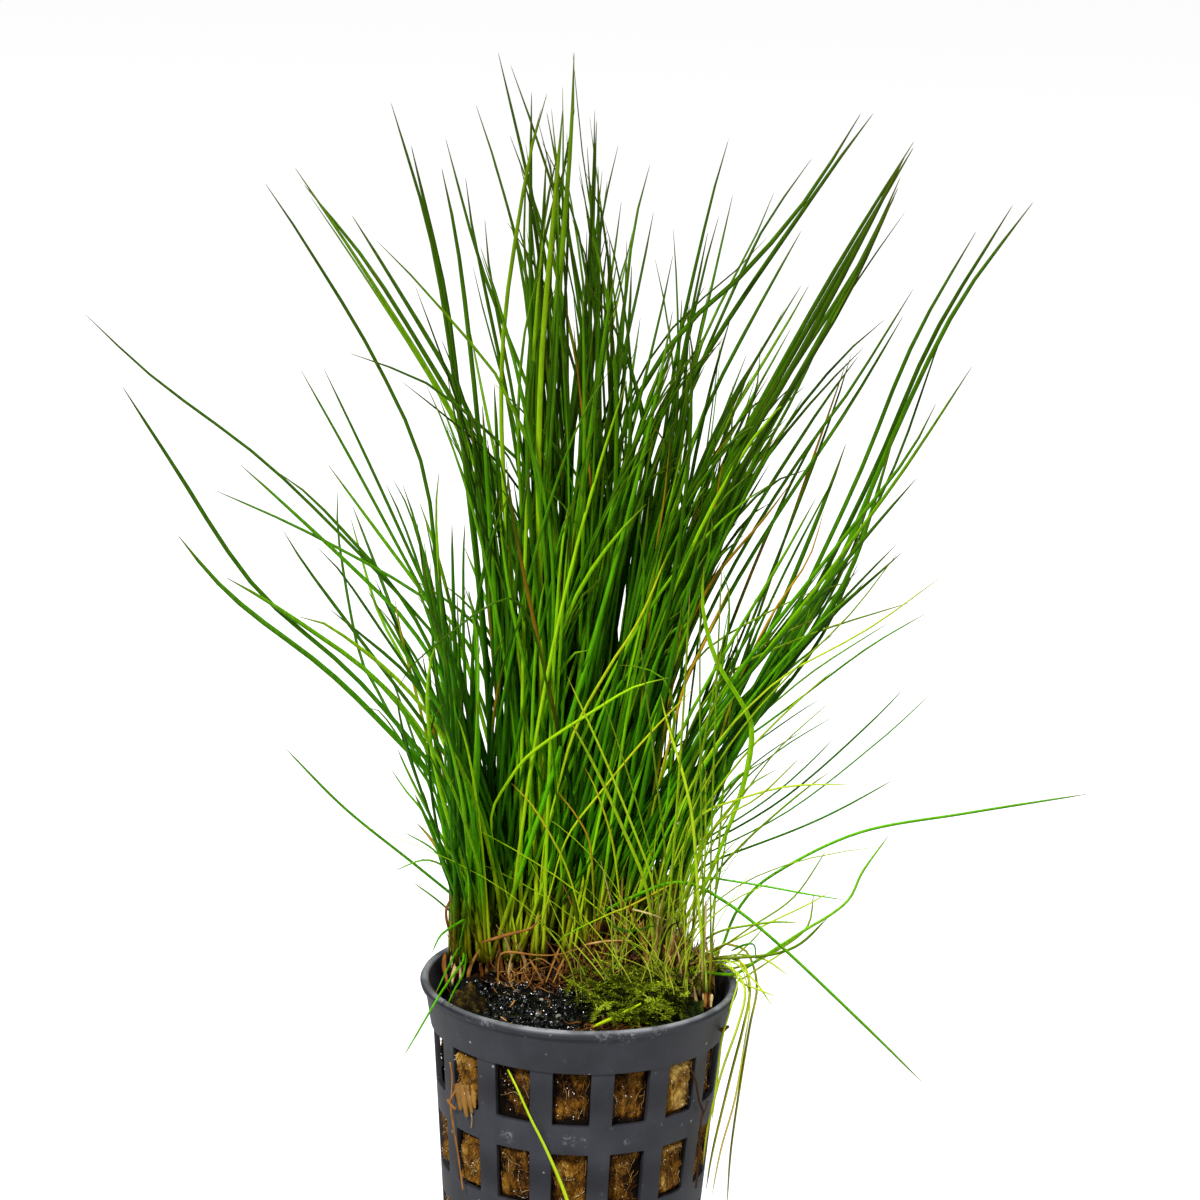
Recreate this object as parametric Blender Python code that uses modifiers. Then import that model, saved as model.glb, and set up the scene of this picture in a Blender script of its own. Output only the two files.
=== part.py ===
"""Dwarf hairgrass in a slotted plastic nursery pot.

The origin is the middle of the underside of the pot, +Z is up, and -Y is the front. Units are metres.
Culms that can be followed one by one are placed from where they are seen: each is a list of the points
it passes in the picture, tip first, and a depth for its tip. The rest follow these at small offsets.
"""

import math

import bmesh
import bpy
import numpy as np
from mathutils import Matrix, Vector

MM = 0.001

# Pot, a 5 cm net pot. Heights in the tables below are counted from the top of the rim.
POT_HEIGHT = 51.5 * MM
RIM_RADIUS = 27.0 * MM
FLOOR_THICKNESS = 1.2 * MM
WALL_THICKNESS = 0.92 * MM
WALL_TOP_RADIUS = 24.63 * MM
WALL_TOP_DEPTH = 8.0 * MM
WALL_TAPER = 0.076
POT_STEPS = 45
FOOT_HEIGHT = 0.9 * MM
MERGE_WITHIN = 0.01 * MM

WINDOW_COUNT = 15
WINDOW_ROWS = 3
WINDOW_ANGLE = math.radians(14.7)
WINDOW_PHASE = math.radians(-1.47)
WINDOW_HEIGHT = 9.66 * MM
HOOP_HEIGHT = 5.14 * MM
FLOOR_SLOTS = 10
SLOT_INNER = 8.0 * MM
SLOT_OUTER = 17.5 * MM
SLOT_WIDTH = 3.0 * MM
CUTTER_DEPTH = 5.0 * MM

# Filling of the pot, with the gap that separate pieces keep.
GAP = 0.35 * MM
PLUG_TOP = 6.0 * MM
PLUG_TOP_RADIUS = 22.9 * MM
PLUG_SHOULDER = 2.5 * MM
PLUG_STEPS = 32
BED_FLOOR = POT_HEIGHT - PLUG_TOP + GAP
BED_RADIUS = 23.3 * MM
PLANTED_LINE = 3.4 * MM
EDGE_SLOPE = 0.6
EDGE_BEND = 4 * MM
MOUND_TOP = 1.3 * MM
MOUND_FALL = 1.5 * MM
MOUND_MIDDLE = 4 * MM

# Beds in front of the planted part: the left and right edges, how far the top lies below the rim at the
# front, how rough it is, how fast it rises to the back, and the cells across and along.
BEDS = {
    "gravel_bed": (-14.6 * MM, 3.6 * MM, 4.6 * MM, 0.6 * MM, 0.07, 10, 12),
    "wool_lump": (-21.4 * MM, -15.1 * MM, 3.9 * MM, 0.5 * MM, 0.05, 4, 6),
    "moss_patch": (4.1 * MM, 21.0 * MM, 3.1 * MM, 0.9 * MM, 0.09, 10, 8),
}
BED_SEEDS = {"gravel_bed": 3, "wool_lump": 4, "moss_patch": 5}
MAT_SIDE = 22 * MM
MAT_GAP = 0.5 * MM
MAT_CELLS = (12, 6)

# Crowns stand in staggered rows over the back half of the pot.
CROWN_PITCH = 4.6 * MM
CROWN_RADIUS = 1.7 * MM
CROWN_HEIGHT = 2.2 * MM
CULM_RADIUS = 0.48 * MM
CULM_GAP = 0.12 * MM
LARGEST_TUFT = 5
SLOT_SHARE = 0.62
LONE_CROWN_SHARE = 0.6
CROWN_FOOT_SHARE = 0.8
SEED = 7

# The hidden foot of a culm: how far it stands upright, leans outward and bends into its first seen point.
FOOT_UPRIGHT = 0.42
FOOT_LEAN = 0.12
FOOT_BEND = 0.3
FOOT_POINTS = 16
DEPTH_GROWTH = 1.15

# A culm that follows another: its share of the length, and how far aside its tip goes.
FOLLOWER_LENGTHS = (0.62, 0.97)
FOLLOWER_ASIDE = 9 * MM
FOLLOWER_SIDES = (1, 1, 0.4)
FOLLOWER_GROWTH = 1.2
FOLLOWER_POINTS = 30
FOLLOWER_TRIES = 40

# Tries for a culm's tip depth, until it stands clear of the others.
NUDGE_REACH = 30
NUDGE_STEP = 1.5

# Where the eye stands, so that a point of the 1200 x 1200 picture becomes a line of sight.
EYE_DISTANCE = 600.0 * MM
EYE_ELEVATION = math.radians(19.60)
SIGHT_PITCH = math.radians(13.472)
SIGHT_YAW = math.radians(0.134)
SIGHT_ROLL = math.radians(1.97)
SIGHT_FOCAL = 3512.3
PICTURE_MIDDLE = 600.0
WALL_SEARCH = (0.8, 1.1)
WALL_SEARCH_STEPS = 4000

RIM_CENTRE = Vector((0, 0, POT_HEIGHT))
EYE = RIM_CENTRE + EYE_DISTANCE * Vector((0, -math.cos(EYE_ELEVATION), math.sin(EYE_ELEVATION)))


def sight_frame():
    """Right, up and forward directions of the view, as columns."""
    turn = Matrix.Rotation(-SIGHT_YAW, 3, "Z") @ Matrix.Rotation(-SIGHT_PITCH, 3, "X")
    lean = Matrix.Rotation(-SIGHT_ROLL, 3, "Y")
    return turn @ lean


SIGHT = sight_frame()


def line_of_sight(pixel):
    across = (pixel[0] - PICTURE_MIDDLE) / SIGHT_FOCAL
    down = (pixel[1] - PICTURE_MIDDLE) / SIGHT_FOCAL
    return SIGHT @ Vector((across, 1, -down))


def at_depth(pixel, depth):
    """The point seen at a pixel, on the upright plane y = depth."""
    ray = line_of_sight(pixel)
    return EYE + ray * ((depth - EYE.y) / ray.y)


def wall_radius(z):
    """Outer radius of the slotted wall at a height."""
    return WALL_TOP_RADIUS - WALL_TAPER * (POT_HEIGHT - WALL_TOP_DEPTH - z)


def on_wall(pixel, stand_off):
    """The point seen at a pixel, this far outside the front of the slotted wall."""
    ray = line_of_sight(pixel)
    near, far = WALL_SEARCH
    steps = np.linspace(near, far, WALL_SEARCH_STEPS) * EYE_DISTANCE / ray.length
    points = np.array(EYE) + steps[:, None] * np.array(ray)
    radii = np.hypot(points[:, 0], points[:, 1])
    outside = radii - stand_off - WALL_TOP_RADIUS + WALL_TAPER * (POT_HEIGHT - WALL_TOP_DEPTH - points[:, 2])
    inside = np.flatnonzero(outside < 0)
    first = inside[0] if len(inside) else outside.argmin()
    return Vector(points[first])


def clear_scene():
    for item in list(bpy.data.objects):
        bpy.data.objects.remove(item)


def collection(name):
    made = bpy.data.collections.new(name)
    bpy.context.scene.collection.children.link(made)
    return made


def linear(hex_colour):
    """Linear values of an sRGB colour."""
    found = []
    for place in (0, 2, 4):
        value = int(hex_colour[place:place + 2], 16) / 255
        found.append(value / 12.92 if value <= 0.04045 else ((value + 0.055) / 1.055) ** 2.4)
    return (*found, 1)


def material(name, hex_colour, roughness):
    made = bpy.data.materials.new(name)
    made.use_nodes = True
    shader = made.node_tree.nodes["Principled BSDF"]
    shader.inputs["Base Color"].default_value = linear(hex_colour)
    shader.inputs["Roughness"].default_value = roughness
    shader.inputs["Metallic"].default_value = 0
    return made


def add_object(name, bm, finish, group, smooth=False):
    mesh = bpy.data.meshes.new(name)
    bm.to_mesh(mesh)
    bm.free()
    if smooth:
        mesh.shade_smooth()
    made = bpy.data.objects.new(name, mesh)
    mesh.materials.append(finish)
    group.objects.link(made)
    return made


def turned(name, profile, steps, finish, group):
    """A turned body: a profile of (radius, height) points swept round the Z axis."""
    bm = bmesh.new()
    corners = [bm.verts.new((radius, 0, height)) for radius, height in profile]
    for first, second in zip(corners, corners[1:]):
        bm.edges.new((first, second))
    made = add_object(name, bm, finish, group)
    screw = made.modifiers.new("Turn", "SCREW")
    screw.steps = steps
    screw.render_steps = steps
    screw.use_merge_vertices = True
    screw.merge_threshold = MERGE_WITHIN
    screw.use_smooth_shade = False
    return made


def pot_profile():
    """From the middle of the floor up the inside, over the lip and down the outside."""
    top = POT_HEIGHT
    wall_top = top - WALL_TOP_DEPTH
    floor = FLOOR_THICKNESS
    foot = FOOT_HEIGHT
    return [
        (0, floor),
        (wall_radius(floor) - WALL_THICKNESS, floor),
        (WALL_TOP_RADIUS - WALL_THICKNESS, wall_top - 0.2 * MM),
        (25.2 * MM, top - 1.2 * MM),
        (25.6 * MM, top - 0.3 * MM),
        (26.1 * MM, top),
        (26.7 * MM, top - 0.15 * MM),
        (RIM_RADIUS, top - 0.75 * MM),
        (26.8 * MM, top - 1.4 * MM),
        (26.15 * MM, top - 1.65 * MM),
        (25.05 * MM, wall_top),
        (WALL_TOP_RADIUS, wall_top - 0.15 * MM),
        (wall_radius(foot), foot),
        (wall_radius(0) - 0.6 * MM, 0),
        (0, 0),
    ]


def window_cutter(group, finish):
    """Blocks that stand through the wall where the windows are, and through the floor where its slots are."""
    bm = bmesh.new()
    for row in range(WINDOW_ROWS):
        middle = POT_HEIGHT - WALL_TOP_DEPTH - row * (WINDOW_HEIGHT + HOOP_HEIGHT) - WINDOW_HEIGHT / 2
        radius = wall_radius(middle)
        width = 2 * radius * math.sin(WINDOW_ANGLE / 2)
        size = Matrix.Diagonal((width, CUTTER_DEPTH, WINDOW_HEIGHT, 1))
        for number in range(WINDOW_COUNT):
            turn = Matrix.Rotation(WINDOW_PHASE + number * math.tau / WINDOW_COUNT, 4, "Z")
            place = turn @ Matrix.Translation((0, -radius, middle)) @ size
            bmesh.ops.create_cube(bm, size=1, matrix=place)
    slot_size = Matrix.Diagonal((SLOT_WIDTH, SLOT_OUTER - SLOT_INNER, 4 * FLOOR_THICKNESS, 1))
    for number in range(FLOOR_SLOTS):
        turn = Matrix.Rotation(number * math.tau / FLOOR_SLOTS, 4, "Z")
        place = turn @ Matrix.Translation((0, -(SLOT_INNER + SLOT_OUTER) / 2, 0)) @ slot_size
        bmesh.ops.create_cube(bm, size=1, matrix=place)
    made = add_object("window_cutter", bm, finish, group)
    made.hide_render = True
    made.display_type = "WIRE"
    return made


def build_pot(parts, cutters):
    charcoal = material("charcoal polypropylene", "45464C", 0.45)
    pot = turned("net_pot", pot_profile(), POT_STEPS, charcoal, parts)
    cut = pot.modifiers.new("Windows", "BOOLEAN")
    cut.object = window_cutter(cutters, charcoal)
    cut.solver = "EXACT"


def build_plug(parts):
    wool = material("brown mineral wool", "6E4C20", 0.95)
    top = POT_HEIGHT - PLUG_TOP
    shoulder = top - PLUG_SHOULDER
    profile = [
        (0, top),
        (PLUG_TOP_RADIUS, top),
        (wall_radius(shoulder) - WALL_THICKNESS - GAP, shoulder),
        (wall_radius(FLOOR_THICKNESS) - WALL_THICKNESS - GAP, FLOOR_THICKNESS + GAP),
        (0, FLOOR_THICKNESS + GAP),
    ]
    turned("rockwool_plug", profile, PLUG_STEPS, wool, parts)


def planted_edge(x):
    """How far back the bare front reaches: straight on the left, further forward on the right."""
    return PLANTED_LINE - EDGE_SLOPE * max(0.0, x - EDGE_BEND)


def bed(name, left, right, front, back, height, columns, rows, finish, parts):
    """A slab on the plug between two edges, with an uneven top: a grid pulled to shape and drawn down."""
    bm = bmesh.new()
    bmesh.ops.create_grid(bm, x_segments=columns, y_segments=rows, size=0.5)
    for vert in bm.verts:
        x = left + (vert.co.x + 0.5) * (right - left)
        near, far = front(x), back(x)
        y = near + (vert.co.y + 0.5) * (far - near)
        vert.co = (x, y, height(x, y))
    skirt = bmesh.ops.extrude_face_region(bm, geom=bm.faces[:])
    lowered = [item for item in skirt["geom"] if isinstance(item, bmesh.types.BMVert)]
    for vert in lowered:
        vert.co.z = BED_FLOOR
    bmesh.ops.recalc_face_normals(bm, faces=bm.faces[:])
    return add_object(name, bm, finish, parts)


def mat_edge(x):
    """The front of the planted part, a gap behind the beds."""
    return planted_edge(x) + MAT_GAP


def front_arc(x):
    return -math.sqrt(BED_RADIUS ** 2 - x * x)


def back_arc(x):
    return math.sqrt(BED_RADIUS ** 2 - x * x)


def mat_height(x, y):
    """The planted mound: highest behind the middle, a little lower at the wall."""
    away = math.hypot(x, y - MOUND_MIDDLE) / BED_RADIUS
    return POT_HEIGHT - MOUND_TOP - MOUND_FALL * away * away


def rough(seed, depth, swell, tilt):
    """A height with a random step at each point, rising towards the back."""
    draw = np.random.default_rng(seed)

    def height(x, y):
        return POT_HEIGHT - depth + tilt * (y + BED_RADIUS) + swell * draw.uniform(-1, 1)

    return height


def build_beds(parts):
    earth = material("matted brown roots", "4A3018", 0.9)
    bed("root_mat", -MAT_SIDE, MAT_SIDE, mat_edge, back_arc, mat_height, *MAT_CELLS, earth, parts)
    finishes = {
        "gravel_bed": material("black glossy granules", "0E0E10", 0.3),
        "wool_lump": material("loose brown wool", "7A5B2A", 0.95),
        "moss_patch": material("bright green moss", "5F8A1C", 0.8),
    }
    for name, (left, right, depth, swell, tilt, columns, rows) in BEDS.items():
        top = rough(BED_SEEDS[name], depth, swell, tilt)
        bed(name, left, right, front_arc, planted_edge, top, columns, rows, finishes[name], parts)


# Crown spots, in rows from the front: the row's depth, its first place across and how many stand in it.
CROWN_ROWS = {
    "a": (5.2 * MM, -16.2 * MM, 8),
    "b": (9.2 * MM, -18.5 * MM, 9),
    "c": (13.2 * MM, -16.2 * MM, 8),
    "d": (17.2 * MM, -13.9 * MM, 7),
    "e": (21.2 * MM, -7.0 * MM, 4),
    "f": (1.2 * MM, 13.7 * MM, 2),
}
OTHER_SPOTS = {
    "pale": (21.2 * MM, -4.4 * MM),
    "right_rim": (17.2 * MM, -2.9 * MM),
    "right_wall": (22.0 * MM, 0.6 * MM),
    "right_back": (20.9 * MM, 5.2 * MM),
    "left_back": (-21.2 * MM, 6.6 * MM),
    "left_front": (-20.0 * MM, 4.3 * MM),
}

# What the picture shows of each tuft: for each culm, how far back its tip is in millimetres,
# then the pixels it passes, tip first, as far down as it can be followed.
LEADERS = {
    "b1": ((-6, (267, 186), (305, 243), (376, 361), (425, 476), (440, 619)),
           (-10, (439, 472), (436, 517), (441, 600))),
    "a1": ((-30, (124, 389), (172, 463), (254, 586), (353, 675), (429, 762)),
           (-22, (228, 578.6), (272, 604), (340, 650))),
    "c1": ((24, (87, 316), (154, 378), (259, 457), (338, 532), (417, 614), (435, 639)),
           (20, (279, 473), (315, 501), (379, 570))),
    "b2": ((4, (392, 106), (431, 239), (454, 377), (471, 518)),
           (8, (412, 149), (446, 300), (462, 430))),
    "a2": ((-34, (319, 549), (343, 575), (389, 642)),
           (-38, (300, 617), (328, 625), (348, 639)),
           (-30, (284, 532), (307, 568), (356, 634))),
    "c2": ((22, (302, 372), (353, 463), (422, 591)),
           (26, (325, 371), (369, 463), (417, 568)),
           (30, (420, 504), (435, 547), (452, 610))),
    "d1": ((48, (337.6, 493), (339, 542), (358, 649), (376, 688)),
           (44, (351, 519), (376, 606), (399, 652)),
           (50, (353, 507), (385, 590), (410, 660))),
    "b3": ((12, (215.6, 490.6), (295, 526), (379, 570), (417, 593)),
           (6, (329, 466), (374, 527), (427, 598))),
    "d2": ((40, (296.5, 170), (366, 273), (443, 396), (500, 518)),
           (44, (306, 187), (372, 270), (450, 395)),
           (36, (367, 263), (410, 330), (470, 430))),
    "a3": ((-12, (546, 97), (529, 159), (512, 260)),
           (-6, (574, 56), (571, 139.5), (560, 280)),
           (-18, (562.5, 112), (556, 190), (546, 300))),
    "b4": ((-14, (380, 244), (420, 285), (492, 369), (512, 407)),
           (-20, (352, 354), (430, 385), (504, 446))),
    "c3": ((16, (477, 108), (496, 166), (525, 270)),
           (20, (446.5, 142), (481, 266), (527, 384)),
           (8, (466, 181), (473, 231), (500, 360)),
           (4, (485, 222), (490.5, 277), (510, 380))),
    "c4": ((10, (499, 56), (527, 174), (538, 224)),
           (14, (512, 69), (534.5, 132), (560, 210))),
    "a5": ((-18, (912, 144.5), (831, 277), (747, 426.5), (724, 469)),
           (-24, (899, 180.5), (859, 265), (790, 372)),
           (-14, (884, 193), (836, 290), (760, 420))),
    "a6": ((-34, (971, 368), (907, 465), (846, 549)),
           (-38, (935, 405.5), (907, 457), (850, 530)),
           (-30, (915, 480), (880, 520), (830, 580))),
    "a7": ((-42, (900, 550), (853, 611), (810, 654)),
           (-36, (941, 577), (868, 629), (789, 672), (764, 693)),
           (-40, (912, 602), (828, 628), (764, 653))),
    "a8": ((-24, (853, 784), (784, 787), (720, 805)),
           (-20, (801.5, 756), (761, 795), (738, 809)),
           (-16, (778, 769), (751, 784.5), (725, 815))),
    "b5": ((4, (859, 116.5), (808, 197), (747, 270), (708, 304)),
           (8, (871, 116.5), (842, 155), (754, 281), (716, 338.5))),
    "b6": ((-4, (912, 291), (854, 384), (823, 426.5)),
           (-8, (902, 318), (850, 405), (800, 480)),
           (2, (857, 358), (823, 404), (780, 470))),
    "b7": ((12, (727.5, 143), (712, 197), (690, 290)),
           (16, (718, 219), (706, 262), (690, 330))),
    "b8": ((10, (1011, 208), (934, 335), (877, 465), (823, 576)),
           (6, (1031, 205), (961, 300), (905, 410), (850, 540))),
    "b9": ((-8, (831, 701), (776.5, 751), (733, 810), (713, 843)),
           (-12, (766, 760), (742, 775), (722, 800))),
    "c5": ((28, (732, 198), (705, 315.5), (680, 420)),
           (32, (649, 168), (634, 227.5), (625, 300))),
    "c6": ((34, (810, 161), (762, 231), (720, 320)),
           (38, (773, 195), (758, 231), (722, 300)),
           (30, (800, 233), (768, 290), (730, 360))),
    "c7": ((24, (926.5, 613), (866, 649), (784, 710.5), (748.5, 736)),
           (28, (889, 622.5), (815, 670), (760, 715))),
    "c8": ((14, (933, 692), (879, 741), (790, 810), (700, 857)),),
    "d3": ((44, (617.6, 148), (607, 193), (590, 280)),
           (48, (602, 173), (594, 250), (582, 330))),
    "d4": ((54, (653, 215), (640, 280), (622, 360)),
           (58, (621, 204), (612, 270), (600, 350))),
    "d5": ((50, (808, 287), (785, 327), (740, 400)),
           (54, (790, 330), (762, 380), (722, 450))),
    "d6": ((30, (573, 56), (584, 166), (600, 260)),
           (34, (590, 120), (600, 200), (612, 280))),
    "d7": ((40, (690, 300), (686, 380), (680, 470)),
           (44, (720, 360), (712, 430), (700, 520))),
    "e1": ((62, (470, 330), (490, 430), (510, 520)),
           (66, (440, 400), (470, 480), (500, 570))),
    "e2": ((70, (560, 300), (562, 400), (562, 500)),
           (66, (530, 260), (540, 360), (550, 460))),
    "e3": ((68, (640, 320), (625, 420), (610, 520)),
           (62, (610, 250), (604, 340), (596, 440))),
    "e4": ((58, (742, 380), (700, 470), (665, 560)),
           (64, (700, 420), (672, 500), (645, 590))),
    "f1": ((-40, (640, 640), (652, 740), (664, 840)),
           (-32, (690, 590), (684, 700), (676, 820)),
           (-44, (600, 690), (630, 780), (655, 870))),
    "f2": ((-14, (827, 849.5), (794, 897), (751, 927), (728, 943)),
           (-10, (814, 892), (805, 930), (759, 960), (735, 968)),
           (-18, (799, 923), (774, 922), (738, 927))),
    "pale": ((-8, (722, 560), (716, 700), (711, 850)),
             (-14, (738, 640), (727, 740), (718, 860)),
             (-2, (700, 600), (700, 720), (702, 860))),
}

# Culms that stand alone: the spot, then each point's pixel and its depth in millimetres, tip first.
SINGLES = {
    "low_left_blade": ("left_back", ((286, 749, -6), (344.5, 808, -2), (413, 863, 2), (452, 894.5, 5))),
    "long_arching_blade": ("right_back", ((1088, 794, 12), (968, 813, 10), (858, 833, 8), (771, 876, 6),
                                          (738, 909.5, 5), (723, 945, 5))),
    "drooping_blade": ("a4", ((921, 1081, -16), (859, 1020, -13), (779.5, 945, -8), (725.5, 902, -4),
                              (680, 882, -1), (628, 899, 2), (590, 920, 4))),
    "left_rim_blade": ("left_front", ((403, 1057, -19), (415, 1037, -18), (436, 1001, -16.5), (447, 984, -12),
                                      (461.5, 964, -4))),
    "right_rim_blade": ("right_rim", ((889, 835, 6), (863, 871, 4), (850.5, 897, 3), (833, 913, 2),
                                       (805, 930, 1), (761, 958, 0), (740, 972, 0))),
}

# Culms of one crown that hang over the rim on the right, given in the same way.
TRAILING = (
    ((703, 1165, -10), (708, 1127, -10), (721, 1074, -10), (737, 1028, -9.5), (745, 996, -9), (740, 976, -7),
     (727, 966, -3)),
    ((706, 1190, -5), (713, 1149, -5), (731, 1074, -4.5), (743, 1028, -4), (750, 990, -3.5), (743, 964, -2.5),
     (728, 957, -0.5)),
    ((727, 1205, 0), (731, 1149, 0), (741, 1079, 0.5), (750, 1025, 1.5), (757, 985, 3), (747, 952, 4),
     (728, 944, 3)),
)

# Out of the windows and down the wall, from the top: thickness, colour, then each point's pixel
# and how far it stands off the wall in millimetres.
ON_WALL = {
    "window_blade": (0.42 * MM, "C2CE2A", (
        (508, 1070, -0.3), (512.5, 1079, 0.7), (517.9, 1090, 1.2), (530, 1117, 1.1), (546, 1149, 1.0),
        (562, 1186, 1.2), (571, 1212, 1.6))),
    "root_left": (0.38 * MM, "6B3F16", (
        (459, 1086, -0.1), (452.5, 1097, 1.0), (450.5, 1119, 1.0), (457.3, 1149, 1.0), (463, 1190, 1.1))),
    "root_right": (0.38 * MM, "7A4416", (
        (688, 1066, -0.1), (695.6, 1078, 1.0), (698.7, 1103, 1.0), (701, 1118, 1.1), (697.5, 1149, 1.1),
        (696, 1188, 1.2))),
}

LIVING_GREENS = ("2F6B10", "3F7D12", "23590C", "4F8A1A")
PALE_GREEN = "A3BC2A"
PALE_TUFTS = ("pale", "f1", "f2")
CULM_ROUGHNESS = 0.5
ON_WALL_ROUGHNESS = 0.6

# Sections of a culm: how far along each stands, and its share of the full thickness.
SECTIONS = ((0.0, 1.0), (0.1, 1.0), (0.3, 1.0), (0.54, 0.95), (0.78, 0.72), (1.0, 0.1))
BENT_SECTIONS = ((0.0, 1.0), (0.08, 1.0), (0.18, 1.0), (0.28, 1.0), (0.38, 1.0), (0.5, 0.95), (0.66, 0.85),
                 (0.83, 0.6), (1.0, 0.1))


def resampled(line, places):
    """Points of a polyline at shares of its length."""
    steps = np.linalg.norm(np.diff(line, axis=0), axis=1)
    along = np.concatenate([[0], np.cumsum(steps)])
    wanted = np.array(places) * along[-1]
    return np.column_stack([np.interp(wanted, along, line[:, axis]) for axis in range(3)])


class Culm:
    """One culm: its centre line, and the few sections that its solid has."""

    def __init__(self, line, radius=CULM_RADIUS, sections=SECTIONS):
        self.line = line
        self.points = resampled(line, [place for place, _ in sections])
        self.radii = radius * np.array([share for _, share in sections])


def segment_gaps(first, second):
    """Shortest distances between every stretch of one polyline and every stretch in a list."""
    p, q = first[0][:, None], first[1][:, None]
    r, s = second[0][None], second[1][None]
    u, v, w = q - p, s - r, p - r
    a, b, c = (u * u).sum(-1), (u * v).sum(-1), (v * v).sum(-1)
    d, e = (u * w).sum(-1), (v * w).sum(-1)
    spread = np.maximum(a * c - b * b, 1e-18)
    along = np.clip((b * e - c * d) / spread, 0, 1)
    other = np.clip((b * along + e) / np.maximum(c, 1e-18), 0, 1)
    along = np.clip((b * other - d) / np.maximum(a, 1e-18), 0, 1)
    return np.linalg.norm(w + u * along[..., None] - v * other[..., None], axis=-1)


class Space:
    """Everything that already stands, as straight stretches with a thickness, an owner and a place in it."""

    def __init__(self):
        self.starts = np.empty((0, 3))
        self.ends = np.empty((0, 3))
        self.radii = np.empty(0)
        self.owners = np.empty(0, int)
        self.lowest = np.empty(0, bool)

    def add(self, points, radii, owner):
        count = len(points) - 1
        self.starts = np.vstack([self.starts, points[:-1]])
        self.ends = np.vstack([self.ends, points[1:]])
        self.radii = np.concatenate([self.radii, np.maximum(radii[:-1], radii[1:])])
        self.owners = np.concatenate([self.owners, np.full(count, owner)])
        self.lowest = np.concatenate([self.lowest, np.arange(count) == 0])

    def clearance(self, culm, owner):
        """Room left round a culm. Its lowest stretch ignores its own tuft, which it grows out of."""
        gaps = segment_gaps((culm.points[:-1], culm.points[1:]), (self.starts, self.ends))
        gaps -= self.radii[None] + np.maximum(culm.radii[:-1], culm.radii[1:])[:, None]
        gaps[0, self.owners == owner] = 1.0
        gaps[1, (self.owners == owner) & self.lowest] = 1.0
        return gaps.min()


def smooth_line(points, per_span=8):
    """A curve through points (Catmull-Rom)."""
    points = np.array(points)
    ends = np.vstack([2 * points[0] - points[1], points, 2 * points[-1] - points[-2]])
    found = []
    for a, b, c, d in zip(ends, ends[1:], ends[2:], ends[3:]):
        for t in np.linspace(0, 1, per_span, endpoint=False):
            bend = 2 * a - 5 * b + 4 * c - d
            twist = 3 * b - a - 3 * c + d
            found.append(0.5 * (2 * b + (c - a) * t + bend * t ** 2 + twist * t ** 3))
    found.append(points[-1])
    return np.array(found)


def rise(base, first, onward):
    """The hidden foot of a culm: it leaves its crown upright and bends into the first point that is seen."""
    span = np.linalg.norm(first - base)
    outward = (first - base) * np.array([1, 1, 0])
    up = np.array([0, 0, FOOT_UPRIGHT]) * span + outward * FOOT_LEAN
    back = (onward - first) / np.linalg.norm(onward - first) * span * FOOT_BEND
    corners = (base, base + up, first - back, first)
    found = []
    for t in np.linspace(0, 1, FOOT_POINTS, endpoint=False):
        weights = ((1 - t) ** 3, 3 * t * (1 - t) ** 2, 3 * t * t * (1 - t), t ** 3)
        found.append(sum(weight * corner for weight, corner in zip(weights, corners)))
    return np.array(found)


def seen_line(base, tip_depth, pixels):
    """A culm from its base through the pixels it was seen at, its depth moving evenly to its tip's."""
    pixels = pixels[::-1]
    flat = np.array([at_depth(pixel, base[1]) for pixel in pixels])
    steps = np.linalg.norm(np.diff(np.vstack([base, flat]), axis=0), axis=1)
    shares = np.cumsum(steps) / steps.sum()
    depths = base[1] + (tip_depth - base[1]) * shares ** DEPTH_GROWTH
    points = np.array([at_depth(pixel, depth) for pixel, depth in zip(pixels, depths)])
    return np.vstack([rise(base, points[0], points[1]), smooth_line(points)])


def placed_line(base, points):
    """A culm whose every point has its own depth."""
    places = np.array([at_depth((across, down), depth * MM) for across, down, depth in points[::-1]])
    return np.vstack([rise(base, places[0], places[1]), smooth_line(places)])


def crown_spots():
    spots = dict(OTHER_SPOTS)
    for row, (depth, first, count) in CROWN_ROWS.items():
        for number in range(count):
            spots[f"{row}{number + 1}"] = (first + number * CROWN_PITCH, depth)
    return spots


def crown_top(spot):
    x, y = spot
    return np.array([x, y, mat_height(x, y) + GAP + CROWN_HEIGHT])


def slot_places(spot, count):
    """Where culms leave a crown: the middles of the wedges of its top."""
    angles = (np.arange(count) + 0.5) * math.tau / count
    spokes = [np.array([math.cos(angle), math.sin(angle), 0]) for angle in angles]
    return [crown_top(spot) + CROWN_RADIUS * SLOT_SHARE * spoke for spoke in spokes]


def follower(leader, base, draw):
    """A culm that follows a leader at a small offset, and is shorter."""
    places = np.linspace(0, draw.uniform(*FOLLOWER_LENGTHS), FOLLOWER_POINTS)
    line = resampled(leader.line, places)
    growth = (np.linspace(0, 1, FOLLOWER_POINTS) ** FOLLOWER_GROWTH)[:, None]
    aside = draw.uniform(-1, 1, 3) * FOLLOWER_ASIDE * np.array(FOLLOWER_SIDES)
    return line + (base - line[0]) * (1 - growth) ** 2 + aside * growth


# Owners of what stands in the space: tufts count from 0, and these are the others.
POT_OWNER = -1
FIRST_SINGLE_OWNER = 100
TRAILING_OWNER = 200

# Rings that stand for the rim and the upper wall: radius, depth below the rim and thickness.
RING_POINTS = 49
RIM_RINGS = ((26.2 * MM, 0.8 * MM, 1.15 * MM), (24.9 * MM, 4 * MM, 1.1 * MM), (24.2 * MM, 7 * MM, 0.9 * MM),
             (23.9 * MM, 12 * MM, 0.9 * MM), (23.4 * MM, 20 * MM, 1.0 * MM))


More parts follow.
